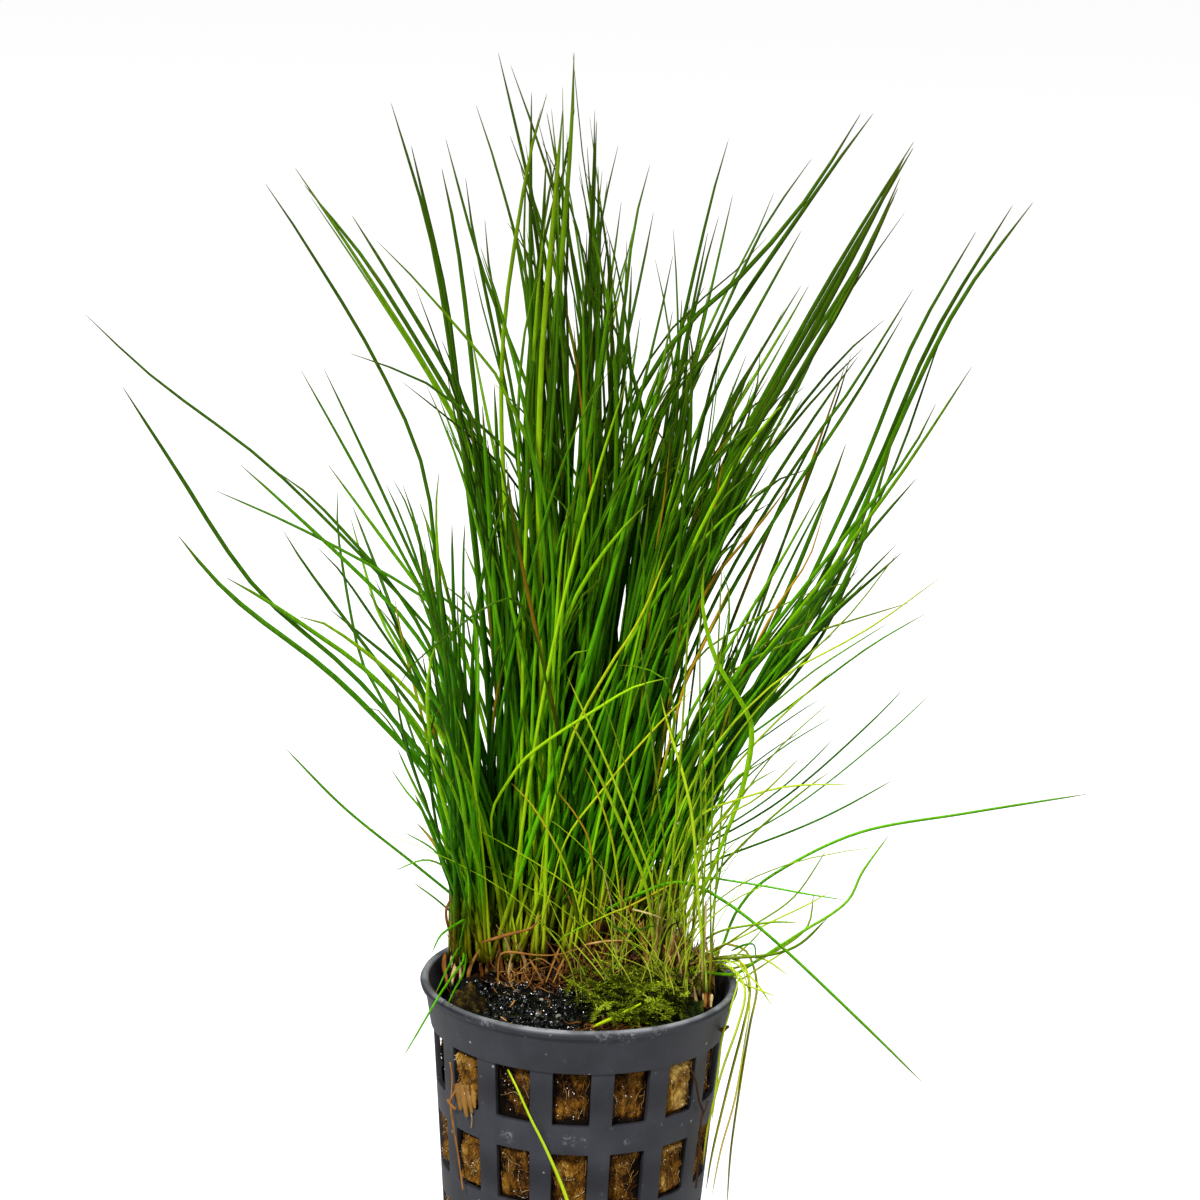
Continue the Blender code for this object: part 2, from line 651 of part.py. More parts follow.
def pot_in(space):
    """The rim and upper wall as rings that culms keep clear of."""
    turns = np.linspace(0, math.tau, RING_POINTS)
    for radius, below_rim, thickness in RIM_RINGS:
        heights = np.full(RING_POINTS, POT_HEIGHT - below_rim)
        ring = np.column_stack([radius * np.cos(turns), radius * np.sin(turns), heights])
        space.add(ring, np.full(RING_POINTS, thickness), POT_OWNER)


def settle(make, tries, space, owner):
    """The first try at which a culm stands clear of all others, or nothing."""
    for attempt in tries:
        culm = make(attempt)
        if space.clearance(culm, owner) > CULM_GAP:
            space.add(culm.points, culm.radii, owner)
            return culm
    return None


def grow_singles(space, spots):
    """The culms that stand alone, and those that trail together."""
    singles = {}
    for owner, (name, (spot, points)) in enumerate(SINGLES.items(), start=FIRST_SINGLE_OWNER):
        culm = Culm(placed_line(crown_top(spots[spot]), points), sections=BENT_SECTIONS)
        space.add(culm.points, culm.radii, owner)
        singles[name] = (spots[spot], [culm])
    for owner, name in enumerate(LEADERS):
        top = crown_top(spots[name])
        space.add(np.array([top - [0, 0, CROWN_HEIGHT], top]), np.full(2, CROWN_RADIUS), owner)
    places = slot_places(spots["right_wall"], len(TRAILING))
    trailing = [Culm(placed_line(place, points), sections=BENT_SECTIONS)
                for place, points in zip(places, TRAILING)]
    for culm in trailing:
        space.add(culm.points, culm.radii, TRAILING_OWNER)
    singles["trailing_blades"] = (spots["right_wall"], trailing)
    return singles


def grow_leaders(spot, routes, space, owner):
    """A tuft's culms that the picture shows, by the place in the crown that each leaves from."""
    middle = crown_top(spot)
    places = slot_places(spot, LARGEST_TUFT)
    nudges = sorted(np.arange(-NUDGE_REACH, NUDGE_REACH + 1, NUDGE_STEP) * MM, key=abs)
    culms = {}
    for depth, *pixels in routes:
        heading = at_depth(pixels[-1], depth * MM)
        free = [slot for slot in range(LARGEST_TUFT) if slot not in culms]
        free.sort(key=lambda slot: -np.dot(places[slot] - middle, heading))
        for slot in free:
            culm = settle(lambda nudge: Culm(seen_line(places[slot], depth * MM + nudge, pixels)),
                          nudges, space, owner)
            if culm is not None:
                culms[slot] = culm
                break
    return culms


def grow():
    """All the culms by name of their node, each where it stands clear of the others."""
    space = Space()
    pot_in(space)
    draw = np.random.default_rng(SEED)
    spots = crown_spots()
    singles = grow_singles(space, spots)
    tufts = {name: grow_leaders(spots[name], routes, space, owner)
             for owner, (name, routes) in enumerate(LEADERS.items())}
    for owner, (name, culms) in enumerate(tufts.items()):
        places = slot_places(spots[name], LARGEST_TUFT)
        leaders = list(culms.values())
        for slot in range(LARGEST_TUFT):
            if slot in culms:
                continue
            leader = leaders[draw.integers(len(leaders))]
            culm = settle(lambda _: Culm(follower(leader, places[slot], draw)),
                          range(FOLLOWER_TRIES), space, owner)
            if culm is not None:
                culms[slot] = culm
    return tufts, singles


def draw_culm(bm, face, culm):
    """Draws a triangular face up into a culm: extruded to each section in turn, then brought to a point."""
    middle = Vector(face.calc_center_median())
    heading = Vector((0, 0, 1))
    for place, radius in zip(culm.points[1:-1], culm.radii[1:-1]):
        face = bmesh.ops.extrude_discrete_faces(bm, faces=[face])["faces"][0]
        place = Vector(place)
        onward = (place - middle).normalized()
        turn = heading.rotation_difference(onward)
        for vert in face.verts:
            spoke = turn @ (vert.co - middle)
            spoke -= onward * spoke.dot(onward)
            vert.co = place + spoke.normalized() * radius
        middle, heading = place, onward
    tip = bmesh.ops.poke(bm, faces=[face])["verts"][0]
    tip.co = Vector(culm.points[-1])


def build_tuft(name, spot, culms, wedges, finish, parts):
    """A crown with its culms drawn out of the wedges of its top, as one body."""
    alone = wedges == 1
    bm = bmesh.new()
    radius = CROWN_RADIUS * (LONE_CROWN_SHARE if alone else 1.0)
    top = crown_top(spot)
    place = Matrix.Translation(Vector(top) - Vector((0, 0, CROWN_HEIGHT / 2)))
    bmesh.ops.create_cone(bm, cap_ends=True, cap_tris=not alone, segments=max(wedges, 3), radius1=radius * CROWN_FOOT_SHARE,
                          radius2=radius, depth=CROWN_HEIGHT, matrix=place)
    tops = [face for face in bm.faces if face.calc_center_median().z > top[2] - 0.1 * MM]
    for culm in culms:
        start = Vector(culm.points[0])
        face = min(tops, key=lambda one: (one.calc_center_median() - start).length)
        tops.remove(face)
        draw_culm(bm, face, culm)
    return add_object(name, bm, finish, parts)


def build_tube(name, points, radius, finish, parts):
    curve = bpy.data.curves.new(name, "CURVE")
    curve.dimensions = "3D"
    curve.bevel_depth = radius
    curve.bevel_resolution = 0
    curve.use_fill_caps = True
    spline = curve.splines.new("POLY")
    spline.points.add(len(points) - 1)
    for knot, place in zip(spline.points, points):
        knot.co = (*place, 1)
    curve.materials.append(finish)
    made = bpy.data.objects.new(name, curve)
    parts.objects.link(made)
    return made


def build_grass(parts):
    greens = [material(f"living culm {number + 1}", colour, CULM_ROUGHNESS)
              for number, colour in enumerate(LIVING_GREENS)]
    pale = material("young pale culm", PALE_GREEN, CULM_ROUGHNESS)
    tufts, singles = grow()
    spots = crown_spots()
    for number, (spot, culms) in enumerate(tufts.items()):
        finish = pale if spot in PALE_TUFTS else greens[number % len(greens)]
        build_tuft(f"tuft_{number + 1:02d}", spots[spot], list(culms.values()), LARGEST_TUFT, finish, parts)
    for name, (spot, culms) in singles.items():
        finish = pale if name == "trailing_blades" else greens[0]
        build_tuft(name, spot, culms, len(culms), finish, parts)
    for name, (radius, colour, route) in ON_WALL.items():
        places = [on_wall(pixel, off * MM) for *pixel, off in route]
        finish = material(name, colour, ON_WALL_ROUGHNESS)
        build_tube(name, smooth_line(places, per_span=2), radius, finish, parts)


def main():
    clear_scene()
    parts = collection("dwarf hairgrass")
    cutters = collection("cutters")
    build_pot(parts, cutters)
    build_plug(parts)
    build_beds(parts)
    build_grass(parts)


main()
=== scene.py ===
# %% [markdown]
# # Dwarf hairgrass in a net pot
# A nursery plant for aquariums: round grass-like culms in tufts, growing out of a plug of brown mineral
# wool that sits in a slotted plastic pot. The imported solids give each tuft, the pot and the beds their
# place. This lesson dresses them: every solid is replaced by a finer piece on the same lines.

# %% Load the frame
import math

import bmesh
import bpy
import numpy as np
from mathutils import Matrix, Vector, noise
from mathutils.bvhtree import BVHTree


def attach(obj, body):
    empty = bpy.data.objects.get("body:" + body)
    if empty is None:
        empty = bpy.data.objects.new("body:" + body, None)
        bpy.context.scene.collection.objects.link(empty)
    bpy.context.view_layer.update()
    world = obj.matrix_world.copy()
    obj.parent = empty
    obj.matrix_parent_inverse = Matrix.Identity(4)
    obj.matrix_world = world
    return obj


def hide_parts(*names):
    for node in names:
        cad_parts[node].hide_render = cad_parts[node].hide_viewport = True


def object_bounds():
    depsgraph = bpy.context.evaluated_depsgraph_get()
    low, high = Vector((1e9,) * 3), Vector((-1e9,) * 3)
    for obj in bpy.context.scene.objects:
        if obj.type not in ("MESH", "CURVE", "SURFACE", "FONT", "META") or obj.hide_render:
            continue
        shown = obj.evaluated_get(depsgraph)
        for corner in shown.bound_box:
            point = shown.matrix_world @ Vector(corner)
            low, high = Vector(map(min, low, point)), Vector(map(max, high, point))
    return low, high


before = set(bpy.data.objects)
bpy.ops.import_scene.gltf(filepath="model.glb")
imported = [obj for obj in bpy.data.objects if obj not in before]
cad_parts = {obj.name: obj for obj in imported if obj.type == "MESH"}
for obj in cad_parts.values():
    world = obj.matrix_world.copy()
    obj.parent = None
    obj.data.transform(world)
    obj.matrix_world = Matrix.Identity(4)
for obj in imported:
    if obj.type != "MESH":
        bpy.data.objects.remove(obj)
CAD_LOW, CAD_HIGH = [list(corner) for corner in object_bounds()]
MM = 0.001
box_size = [round((high - low) / MM, 1) for low, high in zip(CAD_LOW, CAD_HIGH)]
print("solids:", len(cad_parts), "box in mm:", box_size)

# %% [markdown]
# ## The view
# The camera comes first, because culms that can be followed in the picture are placed by it. It stands
# 600 mm from the middle of the rim, looks down on it at about 20 degrees, and leans 2 degrees. A pixel of
# the 1200 x 1200 picture then is a line of sight, and with a depth (a distance behind the middle of the
# pot) it is a point.

# %% The camera
POT_HEIGHT = 51.5 * MM
EYE_DISTANCE = 600.0 * MM
EYE_ELEVATION = math.radians(19.60)
SIGHT_PITCH = math.radians(13.472)
SIGHT_YAW = math.radians(0.134)
SIGHT_ROLL = math.radians(1.97)
SIGHT_FOCAL = 3512.3
PICTURE_SIZE = 1200.0
RIM_CENTRE = Vector((0, 0, POT_HEIGHT))
EYE = RIM_CENTRE + EYE_DISTANCE * Vector((0, -math.cos(EYE_ELEVATION), math.sin(EYE_ELEVATION)))


def sight_frame():
    """Right, forward and up directions of the view, as columns."""
    turn = Matrix.Rotation(-SIGHT_YAW, 3, "Z") @ Matrix.Rotation(-SIGHT_PITCH, 3, "X")
    lean = Matrix.Rotation(-SIGHT_ROLL, 3, "Y")
    return turn @ lean


SIGHT = sight_frame()
camera = bpy.data.objects.new("camera", bpy.data.cameras.new("camera"))
bpy.context.scene.collection.objects.link(camera)
camera.data.lens = SIGHT_FOCAL * camera.data.sensor_width / PICTURE_SIZE
camera.data.clip_start = 10 * MM
camera.matrix_world = Matrix.Translation(EYE) @ (SIGHT @ Matrix.Rotation(math.radians(90), 3, "X")).to_4x4()
bpy.context.scene.camera = camera
print("lens", round(camera.data.lens, 2), "mm")


# %% From a pixel to a point
def line_of_sight(pixel):
    """The direction in which a pixel is seen."""
    across = (pixel[0] - PICTURE_SIZE / 2) / SIGHT_FOCAL
    down = (pixel[1] - PICTURE_SIZE / 2) / SIGHT_FOCAL
    return SIGHT @ Vector((across, 1, -down))


def at_depth(pixel, depth):
    """The point seen at a pixel, on the upright plane y = depth."""
    ray = line_of_sight(pixel)
    return EYE + ray * ((depth - EYE.y) / ray.y)


def at_height(pixel, height):
    """The point seen at a pixel, on the level plane z = height."""
    ray = line_of_sight(pixel)
    return EYE + ray * ((height - EYE.z) / ray.z)


def pixels_of(points):
    """The pixels at which points are seen, as an array."""
    seen = (np.asarray(points) - np.array(EYE)) @ np.array(SIGHT)
    return PICTURE_SIZE / 2 + SIGHT_FOCAL * np.column_stack([seen[:, 0], -seen[:, 2]]) / seen[:, 1:2]


print("front of the rim in mm:", [round(value / MM, 1) for value in at_height((585, 1034), POT_HEIGHT)])

# %% [markdown]
# ## Finishes
# One function turns an sRGB hex value to the linear numbers that shaders use, and one adds a node with
# its settings and links. Every finish below is a short recipe of these two. Where a node is fed by another
# one, its first output is meant; an output further down is named.

# %% Colour and node helpers
def linear(hex_colour):
    """Linear values of an sRGB colour."""
    found = []
    for place in (0, 2, 4):
        value = int(hex_colour[place:place + 2], 16) / 255
        found.append(value / 12.92 if value <= 0.04045 else ((value + 0.055) / 1.055) ** 2.4)
    return (*found, 1)


def node(tree, kind, inputs=None, stops=None, **settings):
    """Adds a node: its own settings, then for each input a value, or the node or the socket that feeds it."""
    made = tree.nodes.new("ShaderNode" + kind)
    for name, value in settings.items():
        setattr(made, name, value)
    for name, value in (inputs or {}).items():
        if isinstance(value, bpy.types.Node):
            value = next(socket for socket in value.outputs if socket.enabled)
        if isinstance(value, bpy.types.NodeSocket):
            tree.links.new(value, made.inputs[name])
        else:
            made.inputs[name].default_value = value
    for number, (place, hex_colour) in enumerate(stops or ()):
        ramp = made.color_ramp.elements
        stop = ramp[number] if number < 2 else ramp.new(place)
        stop.position = place
        stop.color = linear(hex_colour)
    return made


def finish(name, roughness, specular=0.5):
    """An empty finish: its node tree and its shader."""
    made = bpy.data.materials.new(name)
    made.use_nodes = True
    shader = made.node_tree.nodes["Principled BSDF"]
    shader.inputs["Roughness"].default_value = roughness
    shader.inputs["Specular IOR Level"].default_value = specular
    return made, made.node_tree, shader


# %% [markdown]
# ## The culms' finish
# A living culm is smooth, waxy and a little ribbed: deep green above, yellow-green where the neighbours
# shade it near the ground, and a dry tip on the older ones. Five numbers are kept at each point of the
# mesh: how far along its culm it is, how far above the crown, the tone of the culm, which painted shade
# deepens in the heart of the plant, how dead it is, and the painted light and shade round the culm, which
# make one side lighter than the other. The finish blends its colours by these, so one serves nearly all
# the tufts.

# %% The culms' finish
# Streaks run along a culm: half a millimetre wide and 14 mm long.
STREAK_SCALE = (1 / (0.5 * MM), 1 / (0.5 * MM), 1 / (14 * MM))
# No leaf sends back more of the red, the green and the blue than this.
BRIGHTEST_LEAF = (0.48, 0.66, 0.1)


def culm_finish(name, feet, greens, tip, dead, foot_reach):
    """Colours of the feet and greens of dark to bright culms, of the tip and of dead ones."""
    made, tree, shader = finish(name, roughness=0.42, specular=0.06)
    along, rise, tone, dryness, painted_side_light = (node(tree, "Attribute", attribute_name=key).outputs["Fac"]
                                       for key in ("along", "rise", "tone", "dead", "painted_side_light"))
    foot = node(tree, "ValToRGB", {"Fac": tone}, stops=feet)
    green = node(tree, "ValToRGB", {"Fac": tone}, stops=greens)
    reach = node(tree, "MapRange", {"Value": rise, "From Max": foot_reach}, interpolation_type="SMOOTHSTEP")
    aged = node(tree, "MapRange", {"Value": rise, "From Min": 0.5, "From Max": 1.4, "To Max": 0.42})
    green = node(tree, "Mix", {0: aged, 6: green, 7: linear("627406")}, data_type="RGBA")
    body = node(tree, "Mix", {0: reach, 6: foot, 7: green}, data_type="RGBA")
    end = node(tree, "MapRange", {"Value": along, "From Min": 0.93})
    ended = node(tree, "Mix", {0: end, 6: body, 7: linear(tip)}, data_type="RGBA")
    dried = node(tree, "Mix", {0: dryness, 6: ended, 7: linear(dead)}, data_type="RGBA")
    place = node(tree, "TexCoord").outputs["Object"]
    stretched = node(tree, "Mapping", {"Vector": place, "Scale": STREAK_SCALE})
    streaks = node(tree, "TexNoise", {"Vector": stretched, "Scale": 1.0, "Detail": 3.0})
    light = node(tree, "MapRange", {"Value": streaks, "To Min": 0.5, "To Max": 1.42})
    # Painted light and shade round the culm: one side lighter, with two faint light stripes.
    shade = node(tree, "Math", {0: painted_side_light, 1: 0.5, 2: light}, operation="MULTIPLY_ADD")
    lit = node(tree, "MapRange", {"Value": tone, "To Min": 0.8, "To Max": 1.4})
    shade = node(tree, "Math", {0: shade, 1: lit}, operation="MULTIPLY")
    # Brighter low on the culm and darker towards its top.
    brighter_low = node(tree, "MapRange", {"Value": rise, "From Min": 0.2, "From Max": 1.3, "To Min": 1.45,
                                    "To Max": 0.57})
    shade = node(tree, "Math", {0: shade, 1: brighter_low}, operation="MULTIPLY")
    colour = node(tree, "VectorMath", {0: dried, "Scale": shade}, operation="SCALE")
    colour = node(tree, "VectorMath", {0: colour, 1: BRIGHTEST_LEAF}, operation="MINIMUM")
    tree.links.new(colour.outputs["Vector"], shader.inputs["Base Color"])
    bump = node(tree, "Bump", {"Height": streaks, "Strength": 0.25, "Distance": 0.05 * MM})
    tree.links.new(bump.outputs["Normal"], shader.inputs["Normal"])
    return made


LIVING = culm_finish("waxy living culm", feet=((0, "302E04"), (1, "E0DC20")), tip="667612", dead="B07C18",
                     greens=((0, "0D3600"), (0.4, "4E9A06"), (1, "94C00E")), foot_reach=0.22)
PALE = culm_finish("young shaded culm", feet=((0, "6E6A1C"), (1, "BCC038")), tip="9A8A30", dead="B8862A",
                   greens=((0, "5C8408"), (1, "A8C41C")), foot_reach=0.2)
print("culm finishes:", LIVING.name, PALE.name)

# %% [markdown]
# ## Where each culm stands
# The crowns stand in staggered rows over the back half of the pot. For every culm that can be followed in
# the picture there is a route: how far back its tip is in millimetres, then the pixels that it passes,
# from the tip down. These are the routes that the solids were made from, so the fine culms lie on them.

# %% Crowns
# Crown spots, in rows from the front: the row's depth, its first place across and how many stand in it.
CROWN_ROWS = {
    "a": (5.2 * MM, -16.2 * MM, 8),
    "b": (9.2 * MM, -18.5 * MM, 9),
    "c": (13.2 * MM, -16.2 * MM, 8),
    "d": (17.2 * MM, -13.9 * MM, 7),
    "e": (21.2 * MM, -7.0 * MM, 4),
    "f": (1.2 * MM, 13.7 * MM, 2),
}
OTHER_SPOTS = {
    "pale": (21.2 * MM, -4.4 * MM),
    "right_rim": (17.2 * MM, -2.9 * MM),
    "right_wall": (22.0 * MM, 0.6 * MM),
    "right_back": (20.9 * MM, 5.2 * MM),
    "left_back": (-21.2 * MM, 6.6 * MM),
    "left_front": (-20.0 * MM, 4.3 * MM),
}

# %% Routes of the tufts
# What the picture shows of each tuft: for each culm, how far back its tip is in millimetres,
# then the pixels it passes, tip first, as far down as it can be followed.
LEADERS = {
    "b1": ((-6, (267, 186), (305, 243), (376, 361), (425, 476), (440, 619)),
           (-10, (439, 472), (436, 517), (441, 600))),
    "a1": ((-30, (124, 389), (172, 463), (254, 586), (353, 675), (429, 762)),
           (-22, (228, 578.6), (272, 604), (340, 650))),
    "c1": ((24, (87, 316), (154, 378), (259, 457), (338, 532), (417, 614), (435, 639)),
           (20, (279, 473), (315, 501), (379, 570))),
    "b2": ((4, (392, 106), (431, 239), (454, 377), (471, 518)),
           (8, (412, 149), (446, 300), (462, 430))),
    "a2": ((-34, (319, 549), (343, 575), (389, 642)),
           (-38, (300, 617), (328, 625), (348, 639)),
           (-30, (284, 532), (307, 568), (356, 634))),
    "c2": ((22, (302, 372), (353, 463), (422, 591)),
           (26, (325, 371), (369, 463), (417, 568)),
           (30, (420, 504), (435, 547), (452, 610))),
    "d1": ((48, (337.6, 493), (339, 542), (358, 649), (376, 688)),
           (44, (351, 519), (376, 606), (399, 652)),
           (50, (353, 507), (385, 590), (410, 660))),
    "b3": ((12, (215.6, 490.6), (295, 526), (379, 570), (417, 593)),
           (6, (329, 466), (374, 527), (427, 598))),
    "d2": ((40, (296.5, 170), (366, 273), (443, 396), (500, 518)),
           (44, (306, 187), (372, 270), (450, 395)),
           (36, (367, 263), (410, 330), (470, 430))),
    "a3": ((-12, (546, 97), (529, 159), (512, 260)),
           (-6, (574, 56), (571, 139.5), (560, 280)),
           (-18, (562.5, 112), (556, 190), (546, 300))),
    "b4": ((-14, (380, 244), (420, 285), (492, 369), (512, 407)),
           (-20, (352, 354), (430, 385), (504, 446))),
    "c3": ((16, (477, 108), (496, 166), (525, 270)),
           (20, (446.5, 142), (481, 266), (527, 384)),
           (8, (466, 181), (473, 231), (500, 360)),
           (4, (485, 222), (490.5, 277), (510, 380))),
    "c4": ((10, (499, 56), (527, 174), (538, 224)),
           (14, (512, 69), (534.5, 132), (560, 210))),
    "a5": ((-18, (912, 144.5), (831, 277), (747, 426.5), (724, 469)),
           (-24, (899, 180.5), (859, 265), (790, 372)),
           (-14, (884, 193), (836, 290), (760, 420))),
    "a6": ((-34, (971, 368), (907, 465), (846, 549)),
           (-38, (935, 405.5), (907, 457), (850, 530)),
           (-30, (915, 480), (880, 520), (830, 580))),
    "a7": ((-42, (900, 550), (853, 611), (810, 654)),
           (-36, (941, 577), (868, 629), (789, 672), (764, 693)),
           (-40, (912, 602), (828, 628), (764, 653))),
    "a8": ((-24, (853, 784), (784, 787), (720, 805)),
           (-20, (801.5, 756), (761, 795), (738, 809)),
           (-16, (778, 769), (751, 784.5), (725, 815))),
    "b5": ((4, (859, 116.5), (808, 197), (747, 270), (708, 304)),
           (8, (871, 116.5), (842, 155), (754, 281), (716, 338.5))),
    "b6": ((-4, (912, 291), (854, 384), (823, 426.5)),
           (-8, (902, 318), (850, 405), (800, 480)),
           (2, (857, 358), (823, 404), (780, 470))),
    "b7": ((12, (727.5, 143), (712, 197), (690, 290)),
           (16, (718, 219), (706, 262), (690, 330))),
    "b8": ((10, (1011, 208), (934, 335), (877, 465), (823, 576)),
           (6, (1031, 205), (961, 300), (905, 410), (850, 540))),
    "b9": ((-8, (831, 701), (776.5, 751), (733, 810), (713, 843)),
           (-12, (766, 760), (742, 775), (722, 800))),
    "c5": ((28, (732, 198), (705, 315.5), (680, 420)),
           (32, (649, 168), (634, 227.5), (625, 300))),
    "c6": ((34, (810, 161), (762, 231), (720, 320)),
           (38, (773, 195), (758, 231), (722, 300)),
           (30, (800, 233), (768, 290), (730, 360))),
    "c7": ((24, (926.5, 613), (866, 649), (784, 710.5), (748.5, 736)),
           (28, (889, 622.5), (815, 670), (760, 715))),
    "c8": ((14, (933, 692), (879, 741), (790, 810), (700, 857)),),
    "d3": ((44, (617.6, 148), (607, 193), (590, 280)),
           (48, (602, 173), (594, 250), (582, 330))),
    "d4": ((54, (653, 215), (640, 280), (622, 360)),
           (58, (621, 204), (612, 270), (600, 350))),
    "d5": ((50, (808, 287), (785, 327), (740, 400)),
           (54, (790, 330), (762, 380), (722, 450))),
    "d6": ((30, (573, 56), (584, 166), (600, 260)),
           (34, (590, 120), (600, 200), (612, 280))),
    "d7": ((40, (690, 300), (686, 380), (680, 470)),
           (44, (720, 360), (712, 430), (700, 520))),
    "e1": ((62, (470, 330), (490, 430), (510, 520)),
           (66, (440, 400), (470, 480), (500, 570))),
    "e2": ((70, (560, 300), (562, 400), (562, 500)),
           (66, (530, 260), (540, 360), (550, 460))),
    "e3": ((68, (640, 320), (625, 420), (610, 520)),
           (62, (610, 250), (604, 340), (596, 440))),
    "e4": ((58, (742, 380), (700, 470), (665, 560)),
           (64, (700, 420), (672, 500), (645, 590))),
    "f1": ((-40, (640, 640), (652, 740), (664, 840)),
           (-32, (690, 590), (684, 700), (676, 820)),
           (-44, (600, 690), (630, 780), (655, 870))),
    "f2": ((-14, (827, 849.5), (794, 897), (751, 927), (728, 943)),
           (-10, (814, 892), (805, 930), (759, 960), (735, 968)),
           (-18, (799, 923), (774, 922), (738, 927))),
    "pale": ((-8, (722, 560), (716, 700), (711, 850)),
             (-14, (738, 640), (727, 740), (718, 860)),
             (-2, (700, 600), (700, 720), (702, 860))),
}

# %% Routes of the culms that stand alone or trail
# Culms that stand alone: the spot, then each point's pixel and its depth in millimetres, tip first.
SINGLES = {
    "low_left_blade": ("left_back", ((286, 749, -6), (344.5, 808, -2), (413, 863, 2), (452, 894.5, 5))),
    "long_arching_blade": ("right_back", ((1088, 794, 12), (968, 813, 10), (858, 833, 8), (771, 876, 6),
        (738, 909.5, 5), (723, 945, 5))),
    "drooping_blade": ("a4", ((921, 1081, -16), (859, 1020, -13), (779.5, 945, -8), (725.5, 902, -4),
        (680, 882, -1), (628, 899, 2), (590, 920, 4))),
    "left_rim_blade": ("left_front", ((403, 1057, -19), (415, 1037, -18), (436, 1001, -16.5),
        (447, 984, -12), (461.5, 964, -4))),
    "right_rim_blade": ("right_rim", ((889, 835, 6), (863, 871, 4), (850.5, 897, 3), (833, 913, 2),
        (805, 930, 1), (761, 958, 0), (740, 972, 0))),
}

# Culms of one crown that hang over the rim on the right, given in the same way.
TRAILING = (
    ((703, 1165, -10), (708, 1127, -10), (721, 1074, -10), (737, 1028, -9.5), (745, 996, -9),
        (740, 976, -7), (727, 966, -3)),
    ((706, 1190, -5), (713, 1149, -5), (731, 1074, -4.5), (743, 1028, -4), (750, 990, -3.5),
        (743, 964, -2.5), (728, 957, -0.5)),
    ((727, 1205, 0), (731, 1149, 0), (741, 1079, 0.5), (750, 1025, 1.5), (757, 985, 3), (747, 952, 4),
        (728, 944, 3)),
)

# Out of the windows and down the wall, from the top: for each strand its thickness at both ends in
# millimetres and its tone, then each point's pixel and how far it stands off the wall.
ON_WALL = {
    "window_blade": (
        (0.18, 0.36, 0.8, ((508, 1070, -0.3), (512.5, 1079, 0.7), (517.9, 1090, 1.2), (530, 1117, 1.1),
            (546, 1149, 1.0), (562, 1186, 1.2), (571, 1212, 1.6))),
    ),
    "root_left": (
        (0.2, 0.16, 0.56, ((459, 1086, -0.1), (452.5, 1096, 0.9), (450.5, 1104, 1.0), (454, 1130, 1.0),
            (457, 1147, 1.0), (463, 1190, 1.1))),
        (0.32, 0.26, 0.58, ((448, 1100, 0.9), (452, 1106, 1.0), (456, 1109, 0.9))),
        (0.15, 0.12, 0.6, ((450, 1062, 1.0), (452, 1074, 0.9), (452, 1086, 0.9), (451, 1100, 0.9))),
    ),
    "root_right": (
        (0.2, 0.18, 0.22, ((688, 1064, -0.1), (695, 1078, 1.0), (699, 1100, 1.0), (703, 1112, 1.0),
            (701, 1120, 1.1), (699, 1149, 1.1), (696, 1188, 1.2))),
        (0.14, 0.12, 0.3, ((708, 1101, 0.9), (705, 1110, 1.0), (701, 1119, 1.1))),
    ),
    "wool_flap": (
        (1.0, 0.35, 0.54, ((459, 1084, -0.5), (460, 1098, 0.2), (461, 1110, 0.5))),
        (1.0, 0.3, 0.62, ((464, 1084, -0.5), (465, 1101, 0.4), (467, 1117, 0.6))),
        (1.0, 0.25, 0.58, ((469, 1086, -0.5), (470, 1100, 0.3), (472, 1113, 0.5))),
        (0.8, 0.2, 0.64, ((474, 1090, -0.5), (474, 1100, 0.1), (475, 1108, 0.4))),
        (0.1, 0.07, 0.8, ((471, 1112, 0.5), (472, 1120, 0.6), (471, 1128, 0.5))),
    ),
}

# %% [markdown]
# ## How the culms find room
# The solids were grown one after another: each culm takes the first depth at which it stands clear of all
# that stands already, and a few more follow the seen ones at small offsets. The same steps with the same
# seed give the same lines here, so the fine culms need no fitting.

# %% The planted mound and the gaps
GAP = 0.35 * MM
BED_RADIUS = 23.3 * MM
MOUND_TOP = 1.3 * MM
MOUND_FALL = 1.5 * MM
MOUND_MIDDLE = 4 * MM
PLANTED_LINE = 3.4 * MM
EDGE_SLOPE = 0.6
EDGE_BEND = 4 * MM
CROWN_PITCH = 4.6 * MM
CROWN_RADIUS = 1.7 * MM
CROWN_HEIGHT = 2.2 * MM
CULM_RADIUS = 0.48 * MM
CULM_GAP = 0.12 * MM
LARGEST_TUFT = 5
SLOT_SHARE = 0.62
SEED = 7
FOOT_UPRIGHT = 0.42
FOOT_LEAN = 0.12
FOOT_BEND = 0.3
FOOT_POINTS = 16
DEPTH_GROWTH = 1.15
FOLLOWER_LENGTHS = (0.62, 0.97)
FOLLOWER_ASIDE = 9 * MM
FOLLOWER_SIDES = (1, 1, 0.4)
FOLLOWER_GROWTH = 1.2
FOLLOWER_POINTS = 30
FOLLOWER_TRIES = 40
NUDGE_REACH = 30
NUDGE_STEP = 1.5


def mat_height(x, y):
    """The planted mound: highest behind the middle, a little lower at the wall."""
    away = math.hypot(x, y - MOUND_MIDDLE) / BED_RADIUS
    return POT_HEIGHT - MOUND_TOP - MOUND_FALL * away * away


# Sections of a culm: how far along each stands, and its share of the full thickness.
SECTIONS = ((0.0, 1.0), (0.1, 1.0), (0.3, 1.0), (0.54, 0.95), (0.78, 0.72), (1.0, 0.1))
BENT_SECTIONS = ((0.0, 1.0), (0.08, 1.0), (0.18, 1.0), (0.28, 1.0), (0.38, 1.0), (0.5, 0.95), (0.66, 0.85),
                 (0.83, 0.6), (1.0, 0.1))


def lengths_along(line):
    """How far along a polyline each of its points lies."""
    return np.concatenate([[0], np.cumsum(np.linalg.norm(np.diff(line, axis=0), axis=1))])


